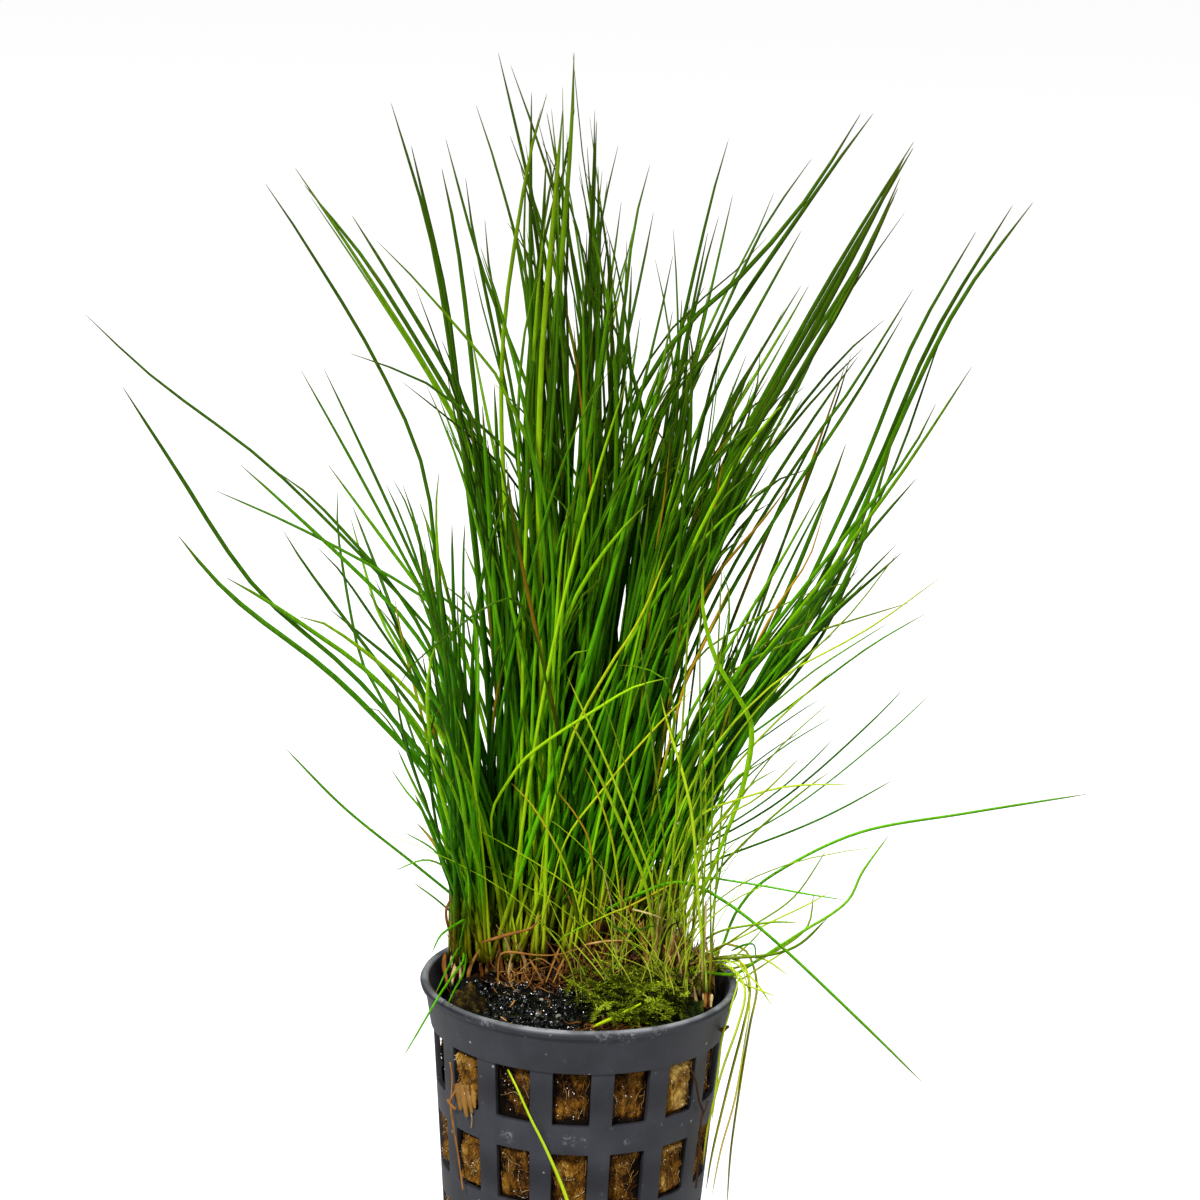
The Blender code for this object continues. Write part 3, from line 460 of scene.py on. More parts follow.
def resampled(line, places):
    """Points of a polyline at shares of its length."""
    along = lengths_along(line)
    wanted = np.array(places) * along[-1]
    return np.column_stack([np.interp(wanted, along, line[:, axis]) for axis in range(3)])


class Culm:
    """One culm: its centre line, and the few sections that its solid has."""

    def __init__(self, line, radius=CULM_RADIUS, sections=SECTIONS):
        self.line = line
        self.points = resampled(line, [place for place, _ in sections])
        self.radii = radius * np.array([share for _, share in sections])


def segment_gaps(first, second):
    """Shortest distances between every stretch of one polyline and every stretch in a list."""
    p, q = first[0][:, None], first[1][:, None]
    r, s = second[0][None], second[1][None]
    u, v, w = q - p, s - r, p - r
    a, b, c = (u * u).sum(-1), (u * v).sum(-1), (v * v).sum(-1)
    d, e = (u * w).sum(-1), (v * w).sum(-1)
    spread = np.maximum(a * c - b * b, 1e-18)
    along = np.clip((b * e - c * d) / spread, 0, 1)
    other = np.clip((b * along + e) / np.maximum(c, 1e-18), 0, 1)
    along = np.clip((b * other - d) / np.maximum(a, 1e-18), 0, 1)
    return np.linalg.norm(w + u * along[..., None] - v * other[..., None], axis=-1)


class Space:
    """Everything that already stands, as straight stretches with a thickness, an owner and a place in it."""

    def __init__(self):
        self.starts = np.empty((0, 3))
        self.ends = np.empty((0, 3))
        self.radii = np.empty(0)
        self.owners = np.empty(0, int)
        self.lowest = np.empty(0, bool)

    def add(self, points, radii, owner):
        """Takes in what now stands along these points."""
        count = len(points) - 1
        self.starts = np.vstack([self.starts, points[:-1]])
        self.ends = np.vstack([self.ends, points[1:]])
        self.radii = np.concatenate([self.radii, np.maximum(radii[:-1], radii[1:])])
        self.owners = np.concatenate([self.owners, np.full(count, owner)])
        self.lowest = np.concatenate([self.lowest, np.arange(count) == 0])

    def clearance(self, culm, owner):
        """Room left round a culm. Its lowest stretch ignores its own tuft, which it grows out of."""
        gaps = segment_gaps((culm.points[:-1], culm.points[1:]), (self.starts, self.ends))
        gaps -= self.radii[None] + np.maximum(culm.radii[:-1], culm.radii[1:])[:, None]
        gaps[0, self.owners == owner] = 1.0
        gaps[1, (self.owners == owner) & self.lowest] = 1.0
        return gaps.min()


def smooth_line(points, per_span=8):
    """A curve through points (Catmull-Rom)."""
    points = np.array(points)
    ends = np.vstack([2 * points[0] - points[1], points, 2 * points[-1] - points[-2]])
    found = []
    for a, b, c, d in zip(ends, ends[1:], ends[2:], ends[3:]):
        for t in np.linspace(0, 1, per_span, endpoint=False):
            bend = 2 * a - 5 * b + 4 * c - d
            twist = 3 * b - a - 3 * c + d
            found.append(0.5 * (2 * b + (c - a) * t + bend * t ** 2 + twist * t ** 3))
    found.append(points[-1])
    return np.array(found)


def rise(base, first, onward):
    """The hidden foot of a culm: it leaves its crown upright and bends into the first point that is seen."""
    span = np.linalg.norm(first - base)
    outward = (first - base) * np.array([1, 1, 0])
    up = np.array([0, 0, FOOT_UPRIGHT]) * span + outward * FOOT_LEAN
    back = (onward - first) / np.linalg.norm(onward - first) * span * FOOT_BEND
    corners = (base, base + up, first - back, first)
    found = []
    for t in np.linspace(0, 1, FOOT_POINTS, endpoint=False):
        weights = ((1 - t) ** 3, 3 * t * (1 - t) ** 2, 3 * t * t * (1 - t), t ** 3)
        found.append(sum(weight * corner for weight, corner in zip(weights, corners)))
    return np.array(found)


def seen_line(base, tip_depth, pixels):
    """A culm from its base through the pixels it was seen at, its depth moving evenly to its tip's."""
    pixels = pixels[::-1]
    flat = np.array([at_depth(pixel, base[1]) for pixel in pixels])
    steps = np.linalg.norm(np.diff(np.vstack([base, flat]), axis=0), axis=1)
    shares = np.cumsum(steps) / steps.sum()
    depths = base[1] + (tip_depth - base[1]) * shares ** DEPTH_GROWTH
    points = np.array([at_depth(pixel, depth) for pixel, depth in zip(pixels, depths)])
    return np.vstack([rise(base, points[0], points[1]), smooth_line(points)])


def places_of(points):
    """The places of points that are given by pixel and depth, tip first, from the foot up."""
    return np.array([at_depth((across, down), depth * MM) for across, down, depth in points[::-1]])


def placed_line(base, points):
    """A culm whose every point has its own depth."""
    places = places_of(points)
    return np.vstack([rise(base, places[0], places[1]), smooth_line(places)])


def way(angle):
    """The level direction at an angle."""
    return np.array([math.cos(angle), math.sin(angle), 0])


def crown_spots():
    """Every crown's place, by name."""
    spots = dict(OTHER_SPOTS)
    for row, (depth, first, count) in CROWN_ROWS.items():
        for number in range(count):
            spots[f"{row}{number + 1}"] = (first + number * CROWN_PITCH, depth)
    return spots


def crown_top(spot):
    """The middle of a crown's top."""
    return np.array([*spot, mat_height(*spot) + GAP + CROWN_HEIGHT])


def slot_places(spot, count):
    """Where culms leave a crown: the middles of the wedges of its top."""
    angles = (np.arange(count) + 0.5) * math.tau / count
    return [crown_top(spot) + CROWN_RADIUS * SLOT_SHARE * way(angle) for angle in angles]


def follower(leader, base, draw):
    """A culm that follows a leader at a small offset, and is shorter."""
    places = np.linspace(0, draw.uniform(*FOLLOWER_LENGTHS), FOLLOWER_POINTS)
    line = resampled(leader.line, places)
    growth = (np.linspace(0, 1, FOLLOWER_POINTS) ** FOLLOWER_GROWTH)[:, None]
    aside = draw.uniform(-1, 1, 3) * FOLLOWER_ASIDE * np.array(FOLLOWER_SIDES)
    return line + (base - line[0]) * (1 - growth) ** 2 + aside * growth


# Owners of what stands in the space: tufts count from 0, and these are the others.
POT_OWNER = -1
FIRST_SINGLE_OWNER = 100
TRAILING_OWNER = 200

# Rings that stand for the rim and the upper wall: radius, depth below the rim and thickness.
RING_POINTS = 49
RIM_RINGS = ((26.2 * MM, 0.8 * MM, 1.15 * MM), (24.9 * MM, 4 * MM, 1.1 * MM), (24.2 * MM, 7 * MM, 0.9 * MM),
             (23.9 * MM, 12 * MM, 0.9 * MM), (23.4 * MM, 20 * MM, 1.0 * MM))


def pot_in(space):
    """The rim and upper wall as rings that culms keep clear of."""
    turns = np.linspace(0, math.tau, RING_POINTS)
    for radius, below_rim, thickness in RIM_RINGS:
        heights = np.full(RING_POINTS, POT_HEIGHT - below_rim)
        ring = np.column_stack([radius * np.cos(turns), radius * np.sin(turns), heights])
        space.add(ring, np.full(RING_POINTS, thickness), POT_OWNER)


def settle(make, tries, space, owner):
    """The first try at which a culm stands clear of all others, or nothing."""
    for attempt in tries:
        culm = make(attempt)
        if space.clearance(culm, owner) > CULM_GAP:
            space.add(culm.points, culm.radii, owner)
            return culm
    return None


def grow_singles(space, spots):
    """The culms that stand alone, and those that trail together."""
    singles = {}
    for owner, (name, (spot, points)) in enumerate(SINGLES.items(), start=FIRST_SINGLE_OWNER):
        culm = Culm(placed_line(crown_top(spots[spot]), points), sections=BENT_SECTIONS)
        space.add(culm.points, culm.radii, owner)
        singles[name] = (spots[spot], [culm])
    for owner, name in enumerate(LEADERS):
        top = crown_top(spots[name])
        space.add(np.array([top - [0, 0, CROWN_HEIGHT], top]), np.full(2, CROWN_RADIUS), owner)
    places = slot_places(spots["right_wall"], len(TRAILING))
    trailing = [Culm(placed_line(place, points), sections=BENT_SECTIONS)
                for place, points in zip(places, TRAILING)]
    for culm in trailing:
        space.add(culm.points, culm.radii, TRAILING_OWNER)
    singles["trailing_blades"] = (spots["right_wall"], trailing)
    return singles


def grow_leaders(spot, routes, space, owner):
    """A tuft's culms that the picture shows, by the place in the crown that each leaves from."""
    middle = crown_top(spot)
    places = slot_places(spot, LARGEST_TUFT)
    nudges = sorted(np.arange(-NUDGE_REACH, NUDGE_REACH + 1, NUDGE_STEP) * MM, key=abs)
    culms = {}
    for depth, *pixels in routes:
        heading = at_depth(pixels[-1], depth * MM)
        free = [slot for slot in range(LARGEST_TUFT) if slot not in culms]
        free.sort(key=lambda slot: -np.dot(places[slot] - middle, heading))
        for slot in free:
            culm = settle(lambda nudge: Culm(seen_line(places[slot], depth * MM + nudge, pixels)),
                          nudges, space, owner)
            if culm is not None:
                culms[slot] = culm
                break
    return culms


def grow():
    """All the culms by name of their node, each where it stands clear of the others."""
    space = Space()
    pot_in(space)
    draw = np.random.default_rng(SEED)
    spots = crown_spots()
    singles = grow_singles(space, spots)
    tufts = {name: grow_leaders(spots[name], routes, space, owner)
             for owner, (name, routes) in enumerate(LEADERS.items())}
    for owner, (name, culms) in enumerate(tufts.items()):
        places = slot_places(spots[name], LARGEST_TUFT)
        leaders = list(culms.values())
        for slot in range(LARGEST_TUFT):
            if slot in culms:
                continue
            leader = leaders[draw.integers(len(leaders))]
            culm = settle(lambda _: Culm(follower(leader, places[slot], draw)),
                          range(FOLLOWER_TRIES), space, owner)
            if culm is not None:
                culms[slot] = culm
    return tufts, singles


TUFTS, SINGLE_CULMS = grow()
print("tufts:", len(TUFTS), "culms:", sum(len(culms) for culms in TUFTS.values()))

# %% [markdown]
# ## From a line to a culm
# A real culm is a hollow tube half a millimetre to a millimetre thick, slightly flattened, that narrows
# to a needle point over its last third. One could sweep a curve with a bevel, but hundreds of curves are
# slow and hold no numbers for the finish. So the rings of each tube are worked out in arrays, carried
# along the line without twist, and all culms of a tuft become one mesh.

# %% Many tubes in one mesh
TAPER_PLACES = (0.0, 0.04, 0.55, 0.84, 0.95, 1.0)
TAPER_SHARES = (1.1, 1.0, 1.0, 0.88, 0.58, 0.14)
RISE_UNIT = 100 * MM
NEEDLE_SHARE = 0.1
# How many faint stripes of painted light run along a culm.
PAINTED_STRIPE_COUNT = 2
# A direction that no culm has, from which the first one across a line is worked out.
FIRST_ASIDE = (0.31, 0.95, 0.05)


def units(vectors):
    """Rows of an array, each brought to length 1."""
    return vectors / np.linalg.norm(vectors, axis=1)[:, None]


def carried_frames(line):
    """Two directions across a line at each of its points, turning as little as they can."""
    heading = units(np.gradient(line, axis=0))
    start = np.cross(heading[0], FIRST_ASIDE)
    side = np.empty_like(line)
    for number, ahead in enumerate(heading):
        start = start - ahead * np.dot(start, ahead)
        start /= np.linalg.norm(start)
        side[number] = start
    return side, np.cross(heading, side)


class Strands:
    """Gathers tubes, with what the finish reads at each of their points, and makes them one mesh."""

    def __init__(self, sides):
        self.sides = sides
        self.points = []
        self.faces = []
        self.values = {"along": [], "rise": [], "tone": [], "dead": [], "painted_side_light": []}
        self.count = 0

    def add(self, line, radii, tone, dead=0.0, flat=0.8, turn=0.0, start=0.0):
        """Adds a tube along a line, with a point at each end that closes it."""
        rings = len(line)
        sides = self.sides
        side, other = carried_frames(line)
        angles = turn + np.arange(sides) * math.tau / sides
        cosines, sines = np.cos(angles)[None, :, None], np.sin(angles)[None, :, None]
        across = cosines * side[:, None] + flat * sines * other[:, None]
        walls = line[:, None] + across * radii[:, None, None]
        needle = line[-1:] + (line[-1:] - line[-2:-1]) * NEEDLE_SHARE
        self.points.append(np.vstack([walls.reshape(-1, 3), line[:1], needle]))
        ring, spoke = np.meshgrid(np.arange(rings - 1), np.arange(sides), indexing="ij")
        first = self.count + ring * sides + spoke
        second = self.count + ring * sides + (spoke + 1) % sides
        quads = np.stack([first, second, second + sides, first + sides], axis=-1).reshape(-1, 4)
        foot, end = self.count + rings * sides, self.count + rings * sides + 1
        edge = np.arange(sides)
        onward = (edge + 1) % sides
        last = self.count + (rings - 1) * sides
        self.faces.extend(quads.tolist())
        self.faces.extend([(foot, self.count + b, self.count + a) for a, b in zip(edge, onward)])
        self.faces.extend([(end, last + a, last + b) for a, b in zip(edge, onward)])
        lengths = lengths_along(line)
        self.keep("along", lengths / lengths[-1])
        self.keep("rise", start + lengths / RISE_UNIT)
        self.keep("tone", np.full(rings, tone))
        self.keep("dead", np.broadcast_to(dead, rings))
        # Painted light and shade round the culm: lighter on one side, with faint light stripes.
        painted_side_lights = np.tile(np.cos(PAINTED_STRIPE_COUNT * angles) / 3 + np.cos(angles) * 2 / 3, rings)
        self.values["painted_side_light"].append(np.concatenate([painted_side_lights, [0, 0]]))
        self.count += rings * sides + 2

    def keep(self, key, at_rings):
        """Keeps a number of each ring for all of its points and for both ends."""
        around = np.repeat(at_rings, self.sides)
        self.values[key].append(np.concatenate([around, at_rings[:1], at_rings[-1:]]))

    def made(self, name, material):
        """All the tubes as one object."""
        values = {key: np.concatenate(found) for key, found in self.values.items()}
        return joined_piece(name, np.vstack(self.points), self.faces, material, values)


def keep_numbers(mesh, values):
    """Keeps numbers for each point of a mesh, which its finish reads by their name."""
    for key, numbers in values.items():
        mesh.attributes.new(key, "FLOAT", "POINT").data.foreach_set("value", np.asarray(numbers, np.float32))


def joined_piece(name, points, faces, material, values, smooth=True):
    """One object from arrays of points and faces."""
    mesh = bpy.data.meshes.new(name)
    mesh.from_pydata(points.tolist(), [], faces)
    mesh.polygons.foreach_set("use_smooth", np.full(len(mesh.polygons), smooth))
    keep_numbers(mesh, values)
    mesh.materials.append(material)
    mesh.update()
    made = bpy.data.objects.new(name, mesh)
    bpy.context.scene.collection.objects.link(made)
    return made


def tapered(radius, rings):
    """Radii of a culm from its foot to its needle point."""
    return radius * np.interp(np.linspace(0, 1, rings), TAPER_PLACES, TAPER_SHARES)


# %% [markdown]
# ## The tufts
# Each solid tuft has up to five thick culms. The real tuft has those and some finer ones that stay
# shorter, so each fine culm follows one of the thick ones a few millimetres aside. Bundles whose blades
# cling together in the picture keep their followers close. A few culms are dead or browned.

# %% Light gaps
# Gaps in the foliage through which the white paper shows: a lens from one end to the other, and its width.
# The finer culms keep clear of them, which keeps the bundles apart.
LIGHT_GAPS = (
    ((382, 366), (446, 540), 44), ((452, 327), (506, 444), 34), ((817, 784), (711, 850), 30),
    ((922, 345), (815, 485), 13), ((860, 495), (771, 624), 13), ((345, 582), (401, 677), 24),
    ((806, 894), (774, 942), 34), ((646, 223), (642, 344), 18), ((796, 890), (744, 920), 22),
    ((355, 510), (414, 590), 22), ((883, 436), (832, 494), 18), ((463, 501), (445, 611), 18),
    ((774, 268), (748, 368), 14), ((861, 488), (806, 560), 12), ((818, 499), (774, 572), 9),
    ((897, 607), (805, 666), 20), ((509, 219), (524, 338), 12), ((772, 550), (734, 627), 10),
    ((741, 320), (716, 427), 10), ((341, 549), (382, 628), 16), ((727, 337), (690, 429), 10),
    ((570, 232), (580, 340), 12), ((372, 570), (424, 654), 10), ((535, 140), (541, 206), 14),
    ((497, 313), (518, 403), 10), ((848, 663), (753, 729), 24), ((722, 880), (742, 908), 26),
    ((385, 575), (426, 626), 18), ((817, 897), (807, 928), 20), ((712, 407), (695, 468), 14),
    ((811, 539), (773, 601), 8), ((761, 765), (721, 802), 16), ((901, 390), (860, 451), 12),
    ((577, 114), (573, 202), 9), ((420, 862), (449, 890), 18), ((734, 278), (703, 332), 9),
    ((673, 672), (706, 706), 14), ((486, 598), (482, 770), 10), ((627, 545), (621, 640), 9),
    ((712, 575), (714, 640), 9), ((466, 635), (466, 680), 10), ((730, 820), (706, 900), 22),
    ((715, 820), (735, 905), 16), ((770, 820), (740, 870), 20), ((800, 690), (745, 760), 16),
    ((780, 640), (735, 700), 12),
)
GAP_ENDS = np.array([[start, end] for start, end, _ in LIGHT_GAPS], float)
GAP_WIDTHS = np.array([width for *_, width in LIGHT_GAPS], float)
GAP_CHECKS = np.linspace(0, 1, 70)


def crosses_gap(line):
    """Whether a culm passes a light gap."""
    seen = pixels_of(resampled(line, GAP_CHECKS))[:, None]
    start, axis = GAP_ENDS[None, :, 0], GAP_ENDS[None, :, 1] - GAP_ENDS[None, :, 0]
    length = np.linalg.norm(axis, axis=-1)
    share = ((seen - start) * axis).sum(-1) / length ** 2
    off = np.abs((seen - start)[..., 0] * axis[..., 1] - (seen - start)[..., 1] * axis[..., 0]) / length
    return bool((off < GAP_WIDTHS / 2 * 4 * share * (1 - share)).any())


print("light gaps:", len(LIGHT_GAPS))

# %% The tufts
CULM_SIDES = 7
CULM_RINGS = 20
SEEN_RADIUS = (0.28 * MM, 0.38 * MM)
FINE_RADIUS = (0.2 * MM, 0.31 * MM)
SPARSE_RADIUS = (0.14 * MM, 0.22 * MM)
BOLD_RADIUS = (0.38 * MM, 0.5 * MM)
BOLD = ("b2", "d2", "a5", "b8", "a3", "b5", "a1")
# Tufts of the right half, whose feet are thin and stand apart.
SPARSE = ("a7", "a8", "b9", "c7", "c8", "d6", "d7", "f1", "f2", "pale")
GAP_TRIES = 12
FINE_LENGTHS = (0.4, 0.98)
FINE_ASIDE = 10 * MM
CLINGING_ASIDE = 1.5 * MM
CLINGING = ("b2", "d2", "b8", "c4", "b5", "b1")
FINE_CULMS = {**dict.fromkeys(SPARSE + ("a2", "b3", "c2", "d1", "a1", "c1"), 1),
              **dict.fromkeys(CLINGING, 12), **dict.fromkeys(("a5", "a6", "b6", "b7"), 4)}
FINE_CULMS_ELSEWHERE = 8
PALE_TUFTS = ("f1", "f2", "pale", "a7", "a8", "b9")
DEAD_SHARE = 0.005
BROWNING_SHARE = 0.06
SWAY = 3.2 * MM
# Culms in the heart of the plant stand in the shade of the others: depths, and the share of their tone
# that is left there.
SHADE_DEPTHS, SHADE_SHARES = (-9 * MM, 8 * MM, 26 * MM), (1.0, 0.3, 0.7)
LEADER_TONE = 0.2
# Tones are drawn with both ends likelier than the middle.
TONE_SPREAD = (0.75, 0.95)
SWAY_WAVES = (3.0, 8.0)
FLATTEST, ROUNDEST = 0.7, 1.0
PLACES = np.linspace(0, 1, CULM_RINGS)


def fine_culm(leader, base, draw, aside):
    """A finer, shorter culm that follows a leader."""
    places = np.linspace(0, draw.uniform(*FINE_LENGTHS), CULM_RINGS)
    line = resampled(leader.line, places)
    growth = (PLACES ** FOLLOWER_GROWTH)[:, None]
    drift = draw.uniform(-1, 1, 3) * aside * np.array(FOLLOWER_SIDES)
    sway = np.sin(draw.uniform(*SWAY_WAVES) * PLACES + draw.uniform(0, math.tau))[:, None]
    sway = (sway - sway[0]) * draw.uniform(-1, 1, 3) * SWAY * growth
    return line + (base - line[0]) * (1 - growth) ** 2 + drift * growth + sway


def browned(draw):
    """How dead a culm is at each ring: not at all, wholly, or in one browned stretch."""
    chance = draw.uniform()
    if chance < DEAD_SHARE:
        return 1.0
    if chance < DEAD_SHARE + BROWNING_SHARE:
        middle, width = draw.uniform(0.45, 1.0), draw.uniform(0.05, 0.16)
        return draw.uniform(0.5, 0.95) * np.exp(-((PLACES - middle) / width) ** 2)
    return 0.0


def clear_of_gaps(make, tries=GAP_TRIES):
    """The first of a few tries that passes no light gap, or nothing."""
    return next((line for line in (make() for _ in range(tries)) if not crosses_gap(line)), None)


def add_culm(strands, line, radius, draw, dead=0.0, least=0.0):
    """Adds a culm with a tone of its own, deepened by painted shade in the heart of the plant."""
    shade = np.interp(line[len(line) // 2][1], SHADE_DEPTHS, SHADE_SHARES)
    tone = max(least, draw.beta(*TONE_SPREAD) * shade)
    flat, turn = draw.uniform(FLATTEST, ROUNDEST), draw.uniform(0, math.tau)
    strands.add(resampled(line, PLACES), tapered(radius, CULM_RINGS), tone, dead, flat, turn)


def dress_tuft(number, spot_name, culms, spot):
    """The fine culms of one tuft: those of its solid, and thinner ones that follow them."""
    draw = np.random.default_rng(1000 + number)
    strands = Strands(CULM_SIDES)
    leaders = list(culms.values())
    slim = SPARSE_RADIUS if spot_name in SPARSE else BOLD_RADIUS if spot_name in BOLD else SEEN_RADIUS
    for culm in leaders:
        add_culm(strands, culm.line, draw.uniform(*slim), draw, least=LEADER_TONE)
    aside = CLINGING_ASIDE if spot_name in CLINGING else FINE_ASIDE
    for _ in range(FINE_CULMS.get(spot_name, FINE_CULMS_ELSEWHERE)):
        angle, away = draw.uniform(0, math.tau), CROWN_RADIUS * draw.uniform(0.1, 0.9)
        base = crown_top(spot) + away * way(angle)
        dead = browned(draw)
        line = clear_of_gaps(lambda: fine_culm(leaders[draw.integers(len(leaders))], base, draw, aside))
        if line is not None:
            add_culm(strands, line, draw.uniform(*FINE_RADIUS), draw, dead)
    piece = strands.made(f"culms_{number:02d}", PALE if spot_name in PALE_TUFTS else LIVING)
    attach(piece, "root")
    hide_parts(f"tuft_{number:02d}")
    return strands.count


SPOTS = crown_spots()
tuft_points = sum(dress_tuft(number, name, culms, SPOTS[name])
                  for number, (name, culms) in enumerate(TUFTS.items(), start=1))
print("points in the tufts:", tuft_points)

# %% [markdown]
# The tufts lean the way their crowns do, but a real plant is also crossed by culms that lean over their
# neighbours. Each of these starts at some crown and ends anywhere inside the outline of its group, so the
# heart of the plant fills with blades at all angles and a fan opens at each side. None is added where the
# white paper shows through in the picture.

# %% Crossing culms
# For each group: how many are tried, the crowns that they start from (left and right, in millimetres), how
# upright the foot is, how far back the tips lie, and the corners of the outline of the tips in the picture.
GROUPS = {
    "heart": (250, (-16, 7), (0.08, 0.36), (-12, 24), (
        (410, 400), (455, 300), (478, 190), (520, 115), (575, 95), (612, 150), (652, 200), (700, 230),
        (740, 250), (750, 300), (760, 400), (790, 470), (790, 620), (740, 700), (690, 790), (440, 760))),
    "top": (120, (-14, 6), (0.2, 0.5), (-12, 34), (
        (470, 260), (484, 160), (512, 105), (560, 80), (600, 110), (640, 200), (640, 300), (560, 300))),
    "left": (310, (-22, -15), (0.02, 0.12), (-22, 26), (
        (335, 570), (352, 515), (400, 450), (445, 430), (470, 540), (486, 680), (480, 800), (462, 880),
        (436, 870), (410, 810), (392, 740), (375, 670), (355, 610))),
    "right": (330, (-6, 12), (0.12, 0.32), (-12, 20), (
        (690, 470), (720, 340), (735, 280), (790, 380), (890, 300), (870, 430), (880, 500), (905, 560),
        (860, 640), (800, 680), (750, 700), (700, 690), (685, 560))),
    "right fan": (110, (-6, 10), (0.1, 0.3), (-22, 10), (
        (728, 600), (740, 480), (790, 430), (870, 370), (885, 430), (850, 510), (815, 610), (760, 660))),
    "front right": (240, (-12, 2), (0.02, 0.25), (-10, 10), (
        (630, 430), (690, 300), (740, 330), (800, 420), (800, 540), (760, 640), (690, 640))),
    "front left": (80, (-13, -3), (0.02, 0.25), (-14, 4), (
        (400, 440), (440, 320), (500, 330), (510, 480), (470, 600), (410, 600))),
    "front": (150, (-16, 1), (0.0, 0.18), (-14, 6), (
        (450, 420), (500, 240), (560, 190), (680, 260), (730, 400), (720, 560), (500, 600))),
}
CROSSING_RADIUS = (0.22 * MM, 0.4 * MM)
CROSSING_SIDES = 6
# The groups outside stand in the light, so none of their culms is quite dark.
LEAST_TONES = {"left": 0.1, "right": 0.1, "right fan": 0.15, "front left": 0.15, "front right": 0.12,
               "front": 0.12}
CROSSING_BOW = 0.08
CROSSING_OUTWARD = np.array([0.12, 0.12, 0])
CROSSING_BEND = 0.7
CROSSING_SAG = (-0.03, 0.1)
LOWEST_REACH = 18 * MM


def inside(pixel, corners):
    """Whether a pixel lies inside a closed outline."""
    crossed = False
    for (x0, y0), (x1, y1) in zip(corners, corners[1:] + corners[:1]):
        if (y0 > pixel[1]) != (y1 > pixel[1]) and pixel[0] < x0 + (x1 - x0) * (pixel[1] - y0) / (y1 - y0):
            crossed = not crossed
    return crossed


def leaning_line(base, tip, upright, draw):
    """From an upright foot to a tip: a bend low down, and a little more lean near the tip."""
    reach = np.linalg.norm(tip - base)
    upward = base + np.array([0, 0, draw.uniform(*upright)]) * reach + (tip - base) * CROSSING_OUTWARD
    over = base + (tip - base) * CROSSING_BEND + np.array([0, 0, draw.uniform(*CROSSING_SAG)]) * reach
    over = over + draw.normal(0, CROSSING_BOW, 3) * reach
    share = np.linspace(0, 1, 2 * CULM_RINGS)[:, None]
    left = 1 - share
    return left ** 3 * base + 3 * share * left ** 2 * upward + 3 * share ** 2 * left * over + share ** 3 * tip


def lean_group(strands, count, crowns, upright, depths, corners, least, draw):
    """Culms from a stretch of crowns to tips inside an outline, where they pass no light gap."""
    low, high = np.min(corners, axis=0), np.max(corners, axis=0)
    places = [spot for name, spot in SPOTS.items() if name != "pale"]
    for _ in range(count):
        pixel = draw.uniform(low, high)
        wanted = draw.uniform(*crowns) * MM
        spot = min(places, key=lambda place: abs(place[0] - wanted) + draw.uniform(0, 6 * MM))
        base = crown_top(spot) + CROWN_RADIUS * np.array([*draw.uniform(-0.8, 0.8, 2), 0])
        tip = np.array(at_depth(pixel, draw.uniform(*depths) * MM))
        line = leaning_line(base, tip, upright, draw)
        if inside(tuple(pixel), corners) and tip[2] - base[2] > LOWEST_REACH and not crosses_gap(line):
            add_culm(strands, line, draw.uniform(*CROSSING_RADIUS), draw, browned(draw), least)


crossing_draw = np.random.default_rng(71)
for group_name, group in GROUPS.items():
    crossing = Strands(CROSSING_SIDES)
    lean_group(crossing, *group, LEAST_TONES.get(group_name, 0), crossing_draw)
    crossing_piece = crossing.made("crossing_" + group_name.replace(" ", "_"), LIVING)
    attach(crossing_piece, "root")
    print("crossing culms,", group_name, len(crossing.points))

# %% [markdown]
# ## Culms that stand alone, trail or leave a window
# The long low blades left and right, the one that droops in front and the three that hang over the rim
# were placed point by point. Each is its own piece, so that it can be found and moved by its name.

# %% The lone culms
LONE_RADIUS = {"low_left_blade": 0.28 * MM, "long_arching_blade": 0.27 * MM, "drooping_blade": 0.3 * MM,
               "left_rim_blade": 0.2 * MM, "right_rim_blade": 0.27 * MM, "trailing_blades": 0.27 * MM}
LONE_TONE = {"low_left_blade": 0.3, "long_arching_blade": 0.45, "drooping_blade": 0.25,
             "left_rim_blade": 0.3, "right_rim_blade": 0.5, "trailing_blades": 0.45}
LONE_RINGS = 40
# These are green to the foot, so their rise starts where the yellow of a foot ends.
LONE_START = 0.2


def dress_lone(name, culms):
    """The fine culms of one solid that stands alone or trails."""
    draw = np.random.default_rng(len(name))
    trails = name == "trailing_blades"
    strands = Strands(CULM_SIDES)
    for culm in culms:
        line = resampled(culm.line, np.linspace(0, 1, LONE_RINGS))
        tone = LONE_TONE[name] + draw.uniform(-0.15, 0.15)
        strands.add(line, tapered(LONE_RADIUS[name], LONE_RINGS), tone, 0.3 * trails, start=LONE_START,
                    turn=draw.uniform(0, math.tau))
    piece = strands.made(f"{name}_fine", PALE if trails else LIVING)
    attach(piece, "root")
    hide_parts(name)


for lone_name, (_, lone_culms) in SINGLE_CULMS.items():
    dress_lone(lone_name, lone_culms)
print("lone pieces:", len(SINGLE_CULMS))

# %% [markdown]
# ## The net pot
# The pot is one moulded shell: a floor with slots, a thin tapered wall with three rows of windows, and a
# collar that ends in a rolled lip. By hand one draws half of its section and spins it round the axis. The
# spin has 120 facets, so that each window is exactly five facets wide, and a window is then made by taking
# away its faces on both skins and bridging the two edges that are left.

# %% The pot's section
WALL_TOP_RADIUS = 24.63 * MM
WALL_TOP_DEPTH = 8.0 * MM
WALL_TAPER = 0.076
WALL_THICKNESS = 0.92 * MM
COLLAR_STEP = 0.15 * MM
WINDOW_ROWS = 3
WINDOW_HEIGHT = 9.66 * MM
HOOP_HEIGHT = 5.14 * MM
POT_FLOOR = 1.2 * MM
POT_FOOT = 0.9 * MM
FOOT_CHAMFER = 0.6 * MM
SLOT_RADII = (8.0 * MM, 17.5 * MM)
